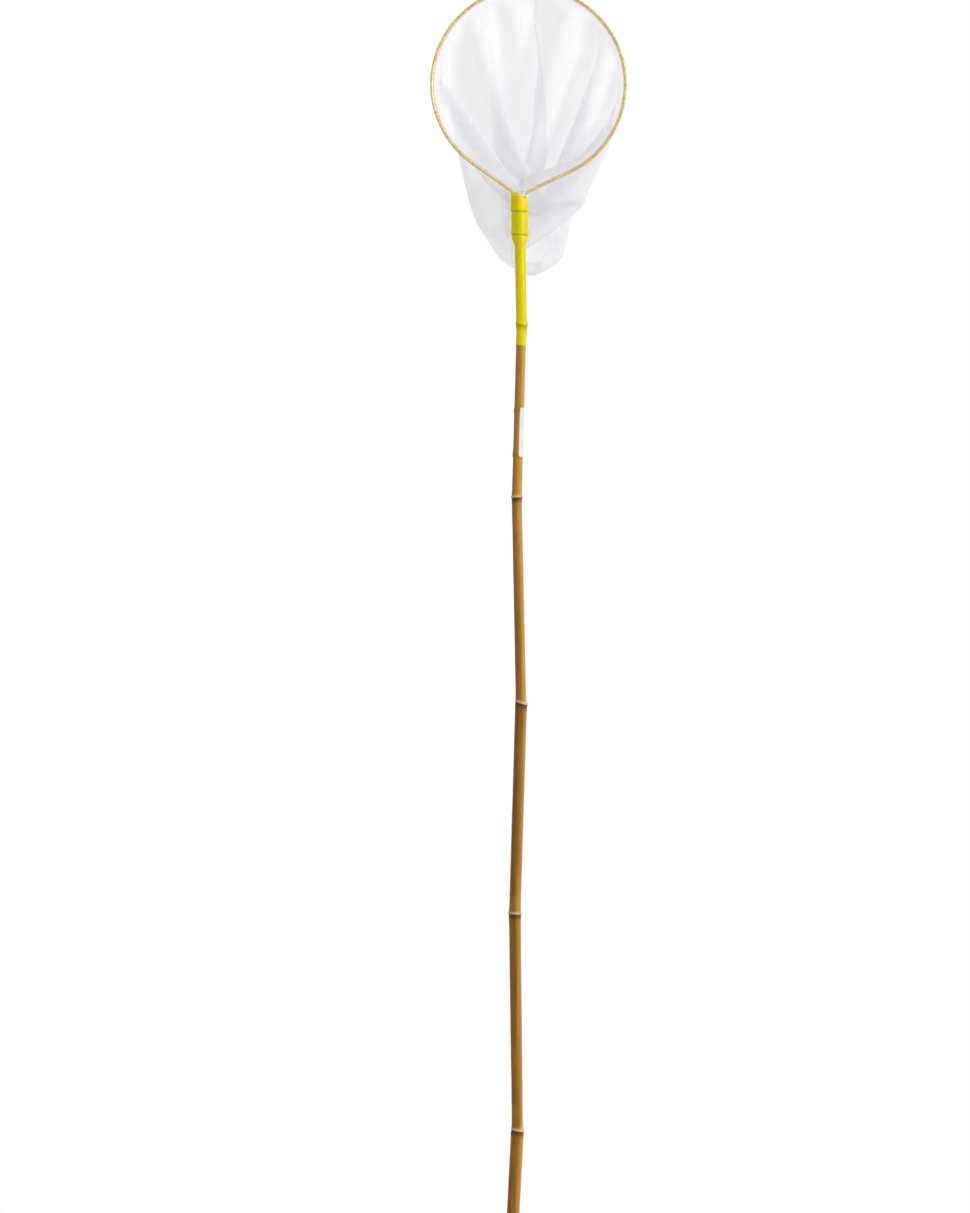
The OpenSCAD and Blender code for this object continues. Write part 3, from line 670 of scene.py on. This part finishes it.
def make_hem():
    """The hem as one closed tube from leg to leg, its ends drawn in on the wire."""
    gone = np.linspace(HEM_START, RIM_LENGTH - HEM_START, HEM_PLACES)[:, None]
    turn = turns(HEM_SIDES)[None]
    tube = round_hem(gone + 0 * turn, turn + 0 * gone, 0)
    first, last = (rim_frame(gone[end, 0])[0] + 0 * tube[0] for end in (0, -1))
    points = np.concatenate([first[None], tube, last[None]])
    return make_piece("hem_casing", points, grid_faces(len(points), HEM_SIDES)[:, ::-1], hem_cloth(),
                      "hem_mesh", "rim_hem", merge=True)


def dashes(start, end, pitch):
    """Distances along a seam of the points of short stitches, from a start to an end."""
    return np.arange(start, end, pitch)[:, None] + np.linspace(0, STITCH_LENGTH, STITCH_PLACES)


def make_rim_stitches():
    """Loops of thread over the hem from its tail in front, round the outside, to its tail behind, each a
    little slanted, and a row of lock stitches along the tail in front."""
    draw = np.random.default_rng(43)
    stitch_end = RIM_LENGTH - STITCH_START
    starts = np.arange(STITCH_START, stitch_end, LOOP_PITCH)
    starts = starts + draw.uniform(-LOOP_SHIFT, LOOP_SHIFT, len(starts))
    share = np.linspace(0, 1, LOOP_PLACES)
    slant = draw.uniform(*LOOP_SLANT, (len(starts), 1))
    turn = np.radians(LOOP_START + LOOP_SWEEP * share)[None] + 0 * slant
    loops = round_hem(starts[:, None] + slant * share, turn, 0.8 * THREAD_R)
    middle, inward = rim_frame(dashes(STITCH_START, stitch_end, LOCK_PITCH))
    behind = STITCH_ARCH * (1 - np.sin(math.pi * np.linspace(0, 1, STITCH_PLACES)))
    locks = middle + inward * (HEM_WRAP + 0.55 * HEM_TAIL) + np.array([0, 1, 0]) * behind[:, None]
    tones = [np.repeat(draw.uniform(0, 1, len(paths)), paths.shape[1] * TUBE_SIDES)
             for paths in (loops, locks)]
    threads = joined([thin_tubes(loops, THREAD_R), thin_tubes(locks, 0.7 * THREAD_R)])
    return make_piece("rim_stitches", *threads, gold_thread(), "gold_thread", "hem_stitching",
                      tone=np.concatenate(tones))


def gold_thread():
    """Shiny twisted thread in tones from gold to a pinkish orange and to olive, one tone to a stitch."""
    material, tree, shader = new_material("gold_thread", {
        "Roughness": 0.38, "Sheen Weight": 0.25, "Specular IOR Level": 0.5})
    tone = ramp(tree, attribute(tree, "tone"), (0.0, 230, 198, 110), (0.35, 240, 216, 142),
                (0.6, 228, 174, 130), (0.8, 200, 164, 86), (1.0, 146, 132, 66))
    twist = clouds(tree, 2600, 1.0)
    dark = level(tree, twist, 0.35, 0.7, 0.0, 0.35)
    coloured(tree, shader, blended(tree, dark, tone, colour(120, 84, 30)))
    bumped(tree, shader, twist, 0.0002, 0.5)
    return material


# --- The bag's cloth: two panels of mesh, sewn together, hung in the hoop and let fall ---

PANEL_COLUMNS = 54                  # columns of cloth points in each of the two panels
CLOTH_COLUMNS = 2 * PANEL_COLUMNS
CLOTH_ROWS = 43                     # rows of cloth points from the rim to the closed end
HELD_ROWS = 2                       # rows that the hem holds: the stitch line and the one next to it
STITCH_LINE = rim_line(0.0, STITCH_INSET)[2]    # length of the rim that both panels are gathered on
BAG_DEPTH = 0.235                   # of the flat panels
ROW_STEP = BAG_DEPTH / (CLOTH_ROWS - 1)
END_WIDTH = 0.167                   # of the flat panels along their closed end
END_HALF_THICK = 0.004              # half the opening left at the closed end before the fall
END_TURN = math.radians(-21.6)      # turn of the closed end against the hoop's upright
END_SHIFT = 0.0034                  # of the closed end along the hoop's width, before the fall
TAPER = 3                           # power of the panels' taper: high keeps them wide for longer
CLOTH_WEIGHT = 0.025                # kilograms of a square metre of the mesh
CLOTH_STIFFNESS = 1.0e-6            # newton metres, against bending
BIAS_STIFFNESS = 300.0              # newtons a metre, along the diagonals of the mesh
LEAN_BACK = math.radians(0.84)      # the net leans back a little, so the bag falls behind the cane
SIDE_LEAN = math.radians(-1.49)     # the net leans a little to the right, so the bag hangs to the left
HEM_TILT = math.radians(15)         # tilt of the hem's tail towards the back
CLOTH_APART = 0.0042                # least distance of cloth points that aren't neighbours
LOOK_APART = 1.6 * CLOTH_APART      # distance under which pairs of points are watched
STEPS_A_SECOND = 2000
FALL_TIME = 2.0                     # seconds
GRAVITY = 9.81
AIR_DRAG = 12.0                     # share of its speed that the air takes from a point, times a second
TOP_SPEED = 3.0                     # metres a second
TANGS_HALF = 0.0035                 # half the straight side of the stadium round the tangs
TANGS_CLEAR, CANE_CLEAR = 0.0078, 0.0072        # radius of the stadium's ends and of the circle below them
TANGS_FOOT, TANGS_HEAD = 0.050, 0.005           # below and above the cane's top, ends of the stadium
SLIDE = 0.9                         # share of its speed that a point keeps where it touches the cane


def panel_widths(rows):
    """Width of a flat panel at each of so many rows: half the stitch line at the mouth, the end's width at
    the closed end, and between them a power of the share of the depth."""
    taper = np.linspace(0, 1, rows) ** TAPER
    return STITCH_LINE / 2 * (1 - taper) + END_WIDTH * taper


def open_bag():
    """The bag held straight out behind the hoop: each row is the rim's shape, drawn in by the panels' taper
    towards a flat end, and set back by its share of the depth. The hem's tail holds the first rows."""
    share = np.arange(CLOTH_COLUMNS) / CLOTH_COLUMNS
    down = np.linspace(0, 1, CLOTH_ROWS)[:, None]
    around = 2 * math.pi * share - math.pi / 2
    flat_x, flat_z = END_HALF_THICK * np.cos(around), END_WIDTH / 2 * np.sin(around)
    end_x = flat_x * math.cos(END_TURN) - flat_z * math.sin(END_TURN)
    end_z = flat_x * math.sin(END_TURN) + flat_z * math.cos(END_TURN) + HOOP_UP
    end_x, end_z = leaning(end_x + END_SHIFT, end_z)
    rim_x, rim_z, _ = rim_line(share, STITCH_INSET)
    taper = down ** TAPER
    points = np.stack([
        rim_x * (1 - taper) + end_x * taper,
        RIM_BEHIND + 0.97 * BAG_DEPTH * down + 0 * share,
        rim_z * (1 - taper) + end_z * taper], -1)
    for row in range(HELD_ROWS):
        x, z, _ = rim_line(share, STITCH_INSET + row * ROW_STEP * math.cos(HEM_TILT))
        points[row] = np.stack([x, np.full_like(x, RIM_BEHIND + row * ROW_STEP * math.sin(HEM_TILT)), z], -1)
    return points


def cloth_threads(widths):
    """The threads of the mesh in groups that share no point: round the bag, down it, and along both
    diagonals. Each group is its two ends, the flat lengths and the stiffness, none for threads that
    don't give. The lengths are those of the flat panels, in which a row is straight and a column keeps its
    share of the row."""
    row, column = np.meshgrid(np.arange(CLOTH_ROWS), np.arange(CLOTH_COLUMNS), indexing="ij")

    def group(rows, columns, down, side, stiffness):
        """The threads from the points of some rows and columns to those so far down and to the side."""
        r, c = row[rows][:, columns].ravel(), column[rows][:, columns].ravel()
        first = r * CLOTH_COLUMNS + c
        second = (r + down) * CLOTH_COLUMNS + (c + side) % CLOTH_COLUMNS
        left = widths[r] * ((c % PANEL_COLUMNS) / PANEL_COLUMNS - 0.5)
        right = widths[r + down] * ((c % PANEL_COLUMNS + side) / PANEL_COLUMNS - 0.5)
        return first, second, np.hypot(right - left, down * ROW_STEP), stiffness

    every = slice(None)
    groups = []
    for odd in (0, 1):
        some_columns = slice(odd, None, 2)
        some_rows = slice(1 + odd, CLOTH_ROWS - 1, 2)
        groups.append(group(slice(HELD_ROWS, None), some_columns, 0, 1, None))
        groups.append(group(some_rows, every, 1, 0, None))
        groups.append(group(some_rows, every, 1, 1, BIAS_STIFFNESS))
        groups.append(group(some_rows, every, 1, -1, BIAS_STIFFNESS))
    return groups


def cloth_bends(widths):
    """Threes of points in a line, in groups that share no point, which resist bending: the middle point's
    distance from the mean of its neighbours is the curvature. The seams between the panels bend freely."""
    round_step = widths / PANEL_COLUMNS
    groups = []
    for start in range(3):
        columns = np.arange(start, CLOTH_COLUMNS, 3)
        columns = columns[columns % PANEL_COLUMNS != 0]
        r, c = (a.ravel() for a in np.meshgrid(np.arange(HELD_ROWS, CLOTH_ROWS), columns, indexing="ij"))
        line = r * CLOTH_COLUMNS
        groups.append((line + c - 1, line + c, line + (c + 1) % CLOTH_COLUMNS,
                       CLOTH_STIFFNESS * ROW_STEP / round_step[r] ** 3))
        r, c = (a.ravel() for a in np.meshgrid(np.arange(1 + start, CLOTH_ROWS - 1, 3),
                                               np.arange(CLOTH_COLUMNS), indexing="ij"))
        here = r * CLOTH_COLUMNS + c
        groups.append((here - CLOTH_COLUMNS, here, here + CLOTH_COLUMNS,
                       CLOTH_STIFFNESS * round_step[r] / ROW_STEP ** 3))
    return groups


def lengths(arrows):
    """Length of each arrow, and never quite nothing."""
    x, y, z = arrows.T
    return np.sqrt(x * x + y * y + z * z) + 1e-12


def near_pairs(points, reach):
    """Pairs of cloth points nearer than reach that aren't neighbours in the cloth and don't meet at its
    closed end. The points are sorted by the cube of space they are in, and each looks in its own cube and
    half of those round it."""
    cube = np.floor(points / reach).astype(np.int64)
    cube -= cube.min(0) - 1
    size = cube.max(0) + 2
    key = (cube[:, 0] * size[1] + cube[:, 1]) * size[2] + cube[:, 2]
    order = np.argsort(key, kind="stable")
    ranked = key[order]
    everyone = np.arange(len(points))
    found = []
    for dx, dy, dz in [(0, 0, 0), (0, 0, 1)] + [(0, 1, z) for z in (-1, 0, 1)] + [
            (1, y, z) for y in (-1, 0, 1) for z in (-1, 0, 1)]:
        offset = (dx * size[1] + dy) * size[2] + dz
        low = np.searchsorted(ranked, key + offset, "left")
        count = np.searchsorted(ranked, key + offset, "right") - low
        first = np.repeat(everyone, count)
        place = np.arange(count.sum()) - np.repeat(np.cumsum(count) - count, count)
        second = order[np.repeat(low, count) + place]
        keep = (second > first) if offset == 0 else np.ones(len(first), bool)
        found.append(np.stack([first[keep], second[keep]]))
    first, second = np.concatenate(found, 1)
    close = ((points[first] - points[second]) ** 2).sum(1) < reach ** 2
    rows_apart = np.abs(first // CLOTH_COLUMNS - second // CLOTH_COLUMNS)
    columns_apart = np.abs(first - second) % CLOTH_COLUMNS
    columns_apart = np.minimum(columns_apart, CLOTH_COLUMNS - columns_apart)
    mirrored = (first + second) % CLOTH_COLUMNS
    mirrored = np.minimum(mirrored, CLOTH_COLUMNS - mirrored)
    at_end = (np.minimum(first, second) // CLOTH_COLUMNS > CLOTH_ROWS - 4) & (mirrored < 3)
    keep = close & ((rows_apart > 2) | (columns_apart > 2)) & ~at_end
    return first[keep], second[keep]


def clear_the_cane(points, free):
    """Moves points out of the cane and its sleeve: out of a stadium round the tangs, and below them out of
    a circle. Returns which were inside."""
    x, y, z = points.T
    off_line = x - CANE_TOP[0] - (z - CANE_TOP[1]) * math.tan(TOP_LEAN)
    beside_tangs = z > CANE_TOP[1] - TANGS_FOOT
    half_straight = np.where(beside_tangs, TANGS_HALF, 0)
    keep_out = np.where(beside_tangs, TANGS_CLEAR, CANE_CLEAR)
    across = off_line - np.clip(off_line, -half_straight, half_straight)
    distance = np.hypot(across, y) + 1e-9
    inside = (distance < keep_out) & (z < CANE_TOP[1] + TANGS_HEAD) & free
    out = keep_out[inside] / distance[inside] - 1
    points[inside, 0] += out * across[inside]
    points[inside, 1] += out * y[inside]
    return inside


def push_apart(points, pairs, lightness):
    """Moves the two points of each pair that is too close apart by half of what is missing, shared between
    them by how light they are."""
    one, other = pairs
    apart = points[one] - points[other]
    now = lengths(apart)
    hit = np.nonzero(now < CLOTH_APART)[0]
    a, b = one[hit], other[hit]
    shove = (CLOTH_APART / now[hit] - 1) / (lightness[a] + lightness[b] + 1e-9) / 2
    for axis in range(3):
        along = shove * apart[hit, axis]
        points[:, axis] += lightness * (
            np.bincount(a, along, len(points)) - np.bincount(b, along, len(points)))


def hang_cloth(seconds):
    """Lets the bag fall from its open shape. Each short step moves every point on by its speed, then pulls
    each thread back to its length and each bend towards straight, by how much a step lets it give, keeps
    the cloth out of itself and the cane, joins the two sides of the closed end, and takes the speed from
    how far each point has come."""
    widths = panel_widths(CLOTH_ROWS)
    points = np.round(open_bag().reshape(-1, 3), 9)
    mass = np.repeat(CLOTH_WEIGHT * widths / PANEL_COLUMNS * ROW_STEP, CLOTH_COLUMNS)
    lightness = 1 / mass
    lightness[:HELD_ROWS * CLOTH_COLUMNS] = 0
    free = lightness > 0
    time_step = 1 / STEPS_A_SECOND
    threads = []
    for first, second, length, stiffness in cloth_threads(widths):
        give = 0 if stiffness is None else 1 / (stiffness * time_step ** 2)
        threads.append((first, second, length, lightness[first, None], lightness[second, None],
                        lightness[first] + lightness[second] + give))
    bends = []
    for left, middle, right, stiffness in cloth_bends(widths):
        whole = (lightness[left] + 4 * lightness[middle] + lightness[right]
                 + 1 / (stiffness * time_step ** 2))
        bends.append((left, middle, right, (lightness[left] / whole)[:, None],
                      (2 * lightness[middle] / whole)[:, None], (lightness[right] / whole)[:, None]))
    pull = GRAVITY * np.array([math.sin(SIDE_LEAN), math.sin(LEAN_BACK), -math.cos(LEAN_BACK)])
    end_row = (CLOTH_ROWS - 1) * CLOTH_COLUMNS
    right_end = end_row + np.arange(1, PANEL_COLUMNS)
    left_end = end_row + CLOTH_COLUMNS - np.arange(1, PANEL_COLUMNS)
    speed = np.zeros_like(points)
    for count in range(int(seconds * STEPS_A_SECOND)):
        speed[free] += pull * time_step
        speed *= 1 - AIR_DRAG * time_step
        before = points.copy()
        points += speed * time_step
        for first, second, length, first_part, second_part, whole in threads:
            apart = points[first] - points[second]
            now = lengths(apart)
            apart *= ((now - length) / (now * whole))[:, None]
            points[first] -= first_part * apart
            points[second] += second_part * apart
        for left, middle, right, left_part, middle_part, right_part in bends:
            bow = points[left] - 2 * points[middle] + points[right]
            points[left] -= left_part * bow
            points[middle] += middle_part * bow
            points[right] -= right_part * bow
        points[right_end] = points[left_end] = (points[right_end] + points[left_end]) / 2
        if count % 20 == 0:
            pairs = near_pairs(points, LOOK_APART)
        if count % 2 == 0 and len(pairs[0]):
            push_apart(points, pairs, lightness)
        touching = clear_the_cane(points, free)
        speed = (points - before) / time_step
        speed *= np.minimum(1, TOP_SPEED / lengths(speed))[:, None]
        speed[touching] *= SLIDE
    return points.reshape(CLOTH_ROWS, CLOTH_COLUMNS, 3)


# --- The bag's pieces ---

FINER = 3                           # shown rows and columns to one of the cloth's
PANELS_APART = 0.4                  # between the middles of the two panels laid out flat
NET_PITCH = 0.0009                  # of the weave's holes
TAPE_HALF_WIDTH = 0.0014
TAPE_THICKNESS = 0.0004
TAPE_OFF = 0.00012                  # from the cloth to the tape on it
TAPE_PLACES = 5                     # points across a tape
TAPE_START = 5                      # row of points where the side tapes start, under the hem
END_TAPE_RISE = 0.0005              # of the end tape's upper edge above the closed end
END_THREAD_DOWN = 0.0008            # of the stitches below the closed end
SEAM_PITCH = 0.0032
SEAM_ENDS = (0.001, 0.003)          # along a seam, left free of stitches at its start and its end
SEAM_THREAD_R = 0.00016
SEAM_THREAD_OFF = TAPE_THICKNESS + 0.0002       # from a seam's middle to its thread


def finer(grid, closed):
    """The grid with FINER times as many rows, on smooth curves through its own: cubic pieces whose slope at
    each row is that between the rows on both sides of it."""
    if closed:
        padded = np.concatenate([grid[-1:], grid, grid[:2]])
    else:
        padded = np.concatenate([2 * grid[:1] - grid[1:2], grid, 2 * grid[-1:] - grid[-2:-1]])
    count = len(padded) - 3
    share = (np.arange(FINER) / FINER)[None, :, None, None]
    a, b, c, d = (padded[i:count + i, None] for i in range(4))
    rows = b + 0.5 * share * (c - a + share * (2 * a - 5 * b + 4 * c - d + share * (3 * (b - c) + d - a)))
    rows = rows.reshape(-1, *grid.shape[1:])
    return rows if closed else np.concatenate([rows, grid[-1:]])


def smoothed(cloth, times):
    """The cloth with each point moved half way to the mean of its four neighbours, save at both ends."""
    for _ in range(times):
        beside = np.roll(cloth, 1, 1) + np.roll(cloth, -1, 1)
        mean = (beside[1:-1] + cloth[2:] + cloth[:-2]) / 4
        cloth = cloth.copy()
        cloth[HELD_ROWS:-1] += 0.5 * (mean - cloth[1:-1])[HELD_ROWS - 1:]
    return cloth


def make_bag(cloth):
    """The bag's cloth from its fine grid of points. Each corner of a face carries its place on the flat
    panel, in metres."""
    rows, columns = cloth.shape[:2]
    half = columns // 2
    width = panel_widths(rows)
    row, column = (g.ravel() for g in np.meshgrid(np.arange(rows - 1), np.arange(columns), indexing="ij"))
    corners = []
    for to_row, to_column in ((0, 0), (0, 1), (1, 1), (1, 0)):
        across = width[row + to_row] * ((column % half + to_column) / half - 0.5)
        down = (row + to_row) * BAG_DEPTH / (rows - 1)
        corners.append(np.stack([across + PANELS_APART * (column // half), down], -1))
    faces, uv = grid_faces(rows, columns)[:, ::-1], np.stack(corners, 1)[:, ::-1]
    return make_piece("bag_cloth", cloth, faces, net_cloth(), "net_mesh", "net_bag", uv=uv)


def side_seam(cloth, column):
    """The tape over one side seam, as the grids of its outside and its inside, and the line of its
    stitches. It lies on the cloth's outside, with its width square to the seam."""
    seam = slice(TAPE_START, -1), column
    round_way = np.roll(cloth, -1, 1) - np.roll(cloth, 1, 1)
    middle, side = cloth[seam], unit(round_way[seam])
    out = unit(np.cross(np.gradient(cloth, axis=0)[seam], round_way[seam]))
    width = np.linspace(-1, 1, TAPE_PLACES)[None, :, None] * TAPE_HALF_WIDTH
    low = middle[:, None] + side[:, None] * width + TAPE_OFF * out[:, None]
    return low + TAPE_THICKNESS * out[:, None], low, [middle + SEAM_THREAD_OFF * out]


def end_seam(cloth):
    """The tape that hangs on past the closed end, in the same way, with stitches on both of its faces."""
    half = cloth.shape[1] // 2
    end, above = cloth[-1, :half + 1], cloth[-4]
    beyond = unit(end - (above[:half + 1] + above[-np.arange(half + 1)]) / 2)
    face = unit(np.cross(np.gradient(end, axis=0), beyond))
    hang = np.linspace(-END_TAPE_RISE, 2 * TAPE_HALF_WIDTH, TAPE_PLACES)[None, :, None]
    low = end[:, None] + beyond[:, None] * hang - face[:, None] * TAPE_THICKNESS
    lines = [end + END_THREAD_DOWN * beyond + flip * SEAM_THREAD_OFF * face for flip in (-1, 1)]
    return low + 2 * TAPE_THICKNESS * face[:, None], low, lines


def stitches_along(line):
    """Short stitches along a line of points, as an array of stitch by place by (x, y, z)."""
    gone = np.concatenate([[0], np.cumsum(np.linalg.norm(np.diff(line, axis=0), axis=1))])
    places = dashes(SEAM_ENDS[0], gone[-1] - SEAM_ENDS[1], SEAM_PITCH)
    return np.stack([np.interp(places, gone, line[:, axis]) for axis in range(3)], -1)


def make_seams(cloth):
    """The bag's seams as narrow folded tapes, two down its sides and one along its closed end, and the
    stitches along them."""
    tapes, paths = [], []
    half = cloth.shape[1] // 2
    for outside, inside, lines in (side_seam(cloth, 0), side_seam(cloth, half), end_seam(cloth)):
        tapes.append((np.stack([outside, inside]).reshape(-1, 3), sheet_faces(*outside.shape[:2])))
        paths += [stitches_along(line) for line in lines]
    tape = make_piece("seam_tape", *joined(tapes), seam_cloth(), "white_thread", "bag_seam")
    stitches = make_piece("seam_stitches", *thin_tubes(np.concatenate(paths), SEAM_THREAD_R), white_thread(),
                          "white_thread", "bag_seam")
    return tape, stitches


def veil(tree, shader, opaque, through):
    """Makes a material a veil: the share opaque of it shows its own colour, which is partly lit through from
    behind, and the rest shows what is behind it."""
    lit = add_node(tree, "ShaderNodeBsdfTranslucent", {
        "Color": shader.inputs["Base Color"].links[0].from_socket})
    cloth = add_node(tree, "ShaderNodeMixShader", {0: through, 1: shader.outputs[0], 2: lit.outputs[0]})
    see_through(tree, opaque, cloth)


def weave(tree, vector, pitch):
    """A soft net pattern: the higher of two waves across each other, about 0 in the holes, 1 on a thread."""
    parts = add_node(tree, "ShaderNodeSeparateXYZ", {0: vector})
    ribs = []
    for axis in (0, 1):
        phase = arithmetic(tree, "MULTIPLY", parts.outputs[axis], 2 * math.pi / pitch)
        ribs.append(arithmetic(tree, "COSINE", phase, 0.0))
    return level(tree, arithmetic(tree, "MAXIMUM", *ribs), 0.1, 0.9)


def net_cloth():
    """Fine white net, half see-through: a soft square weave, faint uneven bands along the threads, and a
    cool white."""
    material, tree, shader = new_material("net_cloth", {
        "Roughness": 0.7, "Sheen Weight": 0.15, "Specular IOR Level": 0.25})
    where = add_node(tree, "ShaderNodeUVMap", {}, uv_map="cloth").outputs[0]
    threads = weave(tree, where, NET_PITCH)
    bands = add_node(tree, "ShaderNodeMapping", {"Vector": where, "Scale": (90, 12, 1)}).outputs[0]
    streak = noise(tree, bands, 2.0)
    coloured(tree, shader, ramp(tree, streak, (0.3, 240, 240, 243), (0.7, 246, 246, 249)))
    uneven = level(tree, streak, 0.3, 0.7, -0.012, 0.012)
    cover = arithmetic(tree, "ADD", level(tree, threads, 0, 1, 0.44, 0.61), uneven)
    bumped(tree, shader, threads, 0.00015, 0.25)
    veil(tree, shader, cover, 0.45)
    return material


def hem_cloth():
    """The same net folded over, tinted by the gold thread and the wire, with fine puckers."""
    material, tree, shader = new_material("hem_cloth", {
        "Roughness": 0.65, "Sheen Weight": 0.15, "Specular IOR Level": 0.3})
    fine = clouds(tree, 900, 2.0)
    coloured(tree, shader, ramp(tree, fine, (0.3, 240, 230, 200), (0.7, 250, 246, 232)))
    bumped(tree, shader, fine, 0.0003, 0.4)
    veil(tree, shader, level(tree, fine, 0.3, 0.7, 0.2, 0.4), 0.35)
    return material


def seam_cloth():
    """The net's edges folded into a seam, white and still see-through."""
    material, tree, shader = new_material("seam_cloth", {"Roughness": 0.7, "Sheen Weight": 0.15})
    fine = clouds(tree, 1100, 2.0)
    coloured(tree, shader, ramp(tree, fine, (0.3, 236, 236, 238), (0.7, 250, 250, 251)))
    bumped(tree, shader, fine, 0.0002, 0.4)
    veil(tree, shader, level(tree, fine, 0.3, 0.7, 0.12, 0.26), 0.7)
    return material


def white_thread():
    """White sewing thread with a fine twist."""
    material, tree, shader = new_material("white_thread", {"Roughness": 0.5, "Sheen Weight": 0.2})
    twist = clouds(tree, 2600, 1.0)
    coloured(tree, shader, ramp(tree, twist, (0.3, 222, 222, 224), (0.7, 250, 250, 250)))
    bumped(tree, shader, twist, 0.0002, 0.5)
    return material


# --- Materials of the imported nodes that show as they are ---

def gold_coat():
    """Thin golden coat on the wire: gloss over a slightly uneven tone."""
    material, tree, shader = new_material("gold_coat", {
        "Roughness": 0.3, "Metallic": 0.25, "Coat Weight": 0.5, "Coat Roughness": 0.12})
    coloured(tree, shader, ramp(tree, clouds(tree, 240, 3.0), (0.3, 190, 162, 76), (0.5, 216, 190, 102),
                                (0.7, 234, 212, 134)))
    bumped(tree, shader, clouds(tree, 900, 2.0), 0.0001, 0.3)
    return material


def drawn_steel(name, shine):
    """Drawn steel wire of that grey: fine scratches, a little darker in clouds."""
    material, tree, shader = new_material(name, {"Metallic": 1.0})
    dull = shine - 26
    coloured(tree, shader, ramp(tree, clouds(tree, 300, 3.0), (0.3, dull, dull, dull - 2),
                                (0.7, shine, shine, shine - 2)))
    scratch = grain(tree, 1600, 1600, 120, 2.0)
    tree.links.new(level(tree, scratch, 0.3, 0.7, 0.28, 0.46), shader.inputs["Roughness"])
    bumped(tree, shader, scratch, 0.0001, 0.3)
    return material


def dress(node, material):
    """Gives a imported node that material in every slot."""
    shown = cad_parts[node]
    if not shown.material_slots:
        shown.data.materials.append(material)
    for slot in shown.material_slots:
        slot.material = material


# --- Floor, light and camera ---

FLOOR_R = 0.7
FLOOR_RINGS, FLOOR_SIDES = 24, 64
FLOOR_CLEAR = 0.0003                # between the butt and the floor
FADE_START, FADE_END = 0.09, 0.21   # radii between which the floor fades out
AMBIENT = 0.54                      # strength of the room's light on the net
LOOK_AT = np.array([0.0, 0.0, 0.8])             # what the lamps face
CAMERA_PLACE = (-0.0269, -3.5, 0.6649)
SHOWN_HEIGHT = 1.2494               # of the picture, at the net
SENSOR = 36                         # millimetres


def make_floor():
    """A pale floor just under the butt, which fades out before its edge."""
    radius, around = np.linspace(0, FLOOR_R, FLOOR_RINGS)[:, None], turns(FLOOR_SIDES)
    points = np.stack(np.broadcast_arrays(
        radius * np.cos(around), radius * np.sin(around), cad_box[0][2] - FLOOR_CLEAR), -1)
    faces = grid_faces(FLOOR_RINGS, FLOOR_SIDES)[:, ::-1]
    material, tree, shader = new_material("pale_floor", {
        "Base Color": colour(244, 244, 244), "Roughness": 0.9, "Specular IOR Level": 0.1})
    where = add_node(tree, "ShaderNodeTexCoord", {}).outputs["Object"]
    away = add_node(tree, "ShaderNodeVectorMath", {0: where}, operation="LENGTH").outputs["Value"]
    see_through(tree, level(tree, away, FADE_START, FADE_END, 1.0, 0.0), shader)
    make_shape("floor", points, faces, material, merge=True)


def light_scene():
    """A white room that lights evenly and weakly, and shows white itself, with a broad soft lamp in front on
    the right and a weak one on the left."""
    world = bpy.data.worlds.new("white_room")
    world.use_nodes = True
    tree = world.node_tree
    room = tree.nodes["Background"]
    room.inputs["Color"].default_value = (1, 1, 1, 1)
    room.inputs["Strength"].default_value = AMBIENT
    seen = add_node(tree, "ShaderNodeBackground", {"Color": (1, 1, 1, 1), "Strength": 1.0})
    path = add_node(tree, "ShaderNodeLightPath", {})
    shown = arithmetic(tree, "MAXIMUM", path.outputs["Is Camera Ray"], path.outputs["Is Glossy Ray"])
    shown = arithmetic(tree, "MAXIMUM", shown, path.outputs["Is Transmission Ray"])
    both = add_node(tree, "ShaderNodeMixShader", {0: shown, 1: room.outputs[0], 2: seen.outputs[0]})
    tree.links.new(both.outputs[0], tree.nodes["World Output"].inputs["Surface"])
    bpy.context.scene.world = world
    add_lamp("key_lamp", (2.6, -1.7, 1.7), size=1.3, power=62)
    add_lamp("fill_lamp", (-2.4, -2.6, 1.2), size=2.0, power=8)


def add_lamp(name, place, size, power):
    """A square area lamp that faces the middle of the net."""
    lamp = bpy.data.lights.new(name, "AREA")
    lamp.size = size
    lamp.energy = power
    shown = show(name, lamp)
    shown.location = place
    x, y, z = LOOK_AT - np.array(place)
    shown.rotation_euler = (math.atan2(math.hypot(x, y), -z), 0, math.atan2(y, x) - math.pi / 2)


def add_camera():
    """A camera level with the middle of the net, which looks straight back and shows SHOWN_HEIGHT of it."""
    lens = bpy.data.cameras.new("camera")
    lens.sensor_width = SENSOR
    lens.lens = SENSOR * -CAMERA_PLACE[1] / SHOWN_HEIGHT
    camera = show("camera", lens)
    camera.location = CAMERA_PLACE
    camera.rotation_euler = (math.pi / 2, 0, 0)
    bpy.context.scene.camera = camera


# --- The scene ---

add_camera()
light_scene()
make_floor()
make_cane()
make_sleeve()
make_label()
dress("hoop_wire", drawn_steel("hoop_steel", 200))
dress("wire_coat", gold_coat())
for lashing in ("upper_lashing", "lower_lashing"):
    dress(lashing, drawn_steel(lashing + "_steel", 186))
hem = make_hem()
rim_stitches = make_rim_stitches()
hung = smoothed(hang_cloth(FALL_TIME), 2)
hung = finer(np.swapaxes(finer(hung, False), 0, 1), True).swapaxes(0, 1)
bag = make_bag(hung)
tape, seam_stitches = make_seams(hung)

bpy.context.scene.view_settings.view_transform = "Standard"
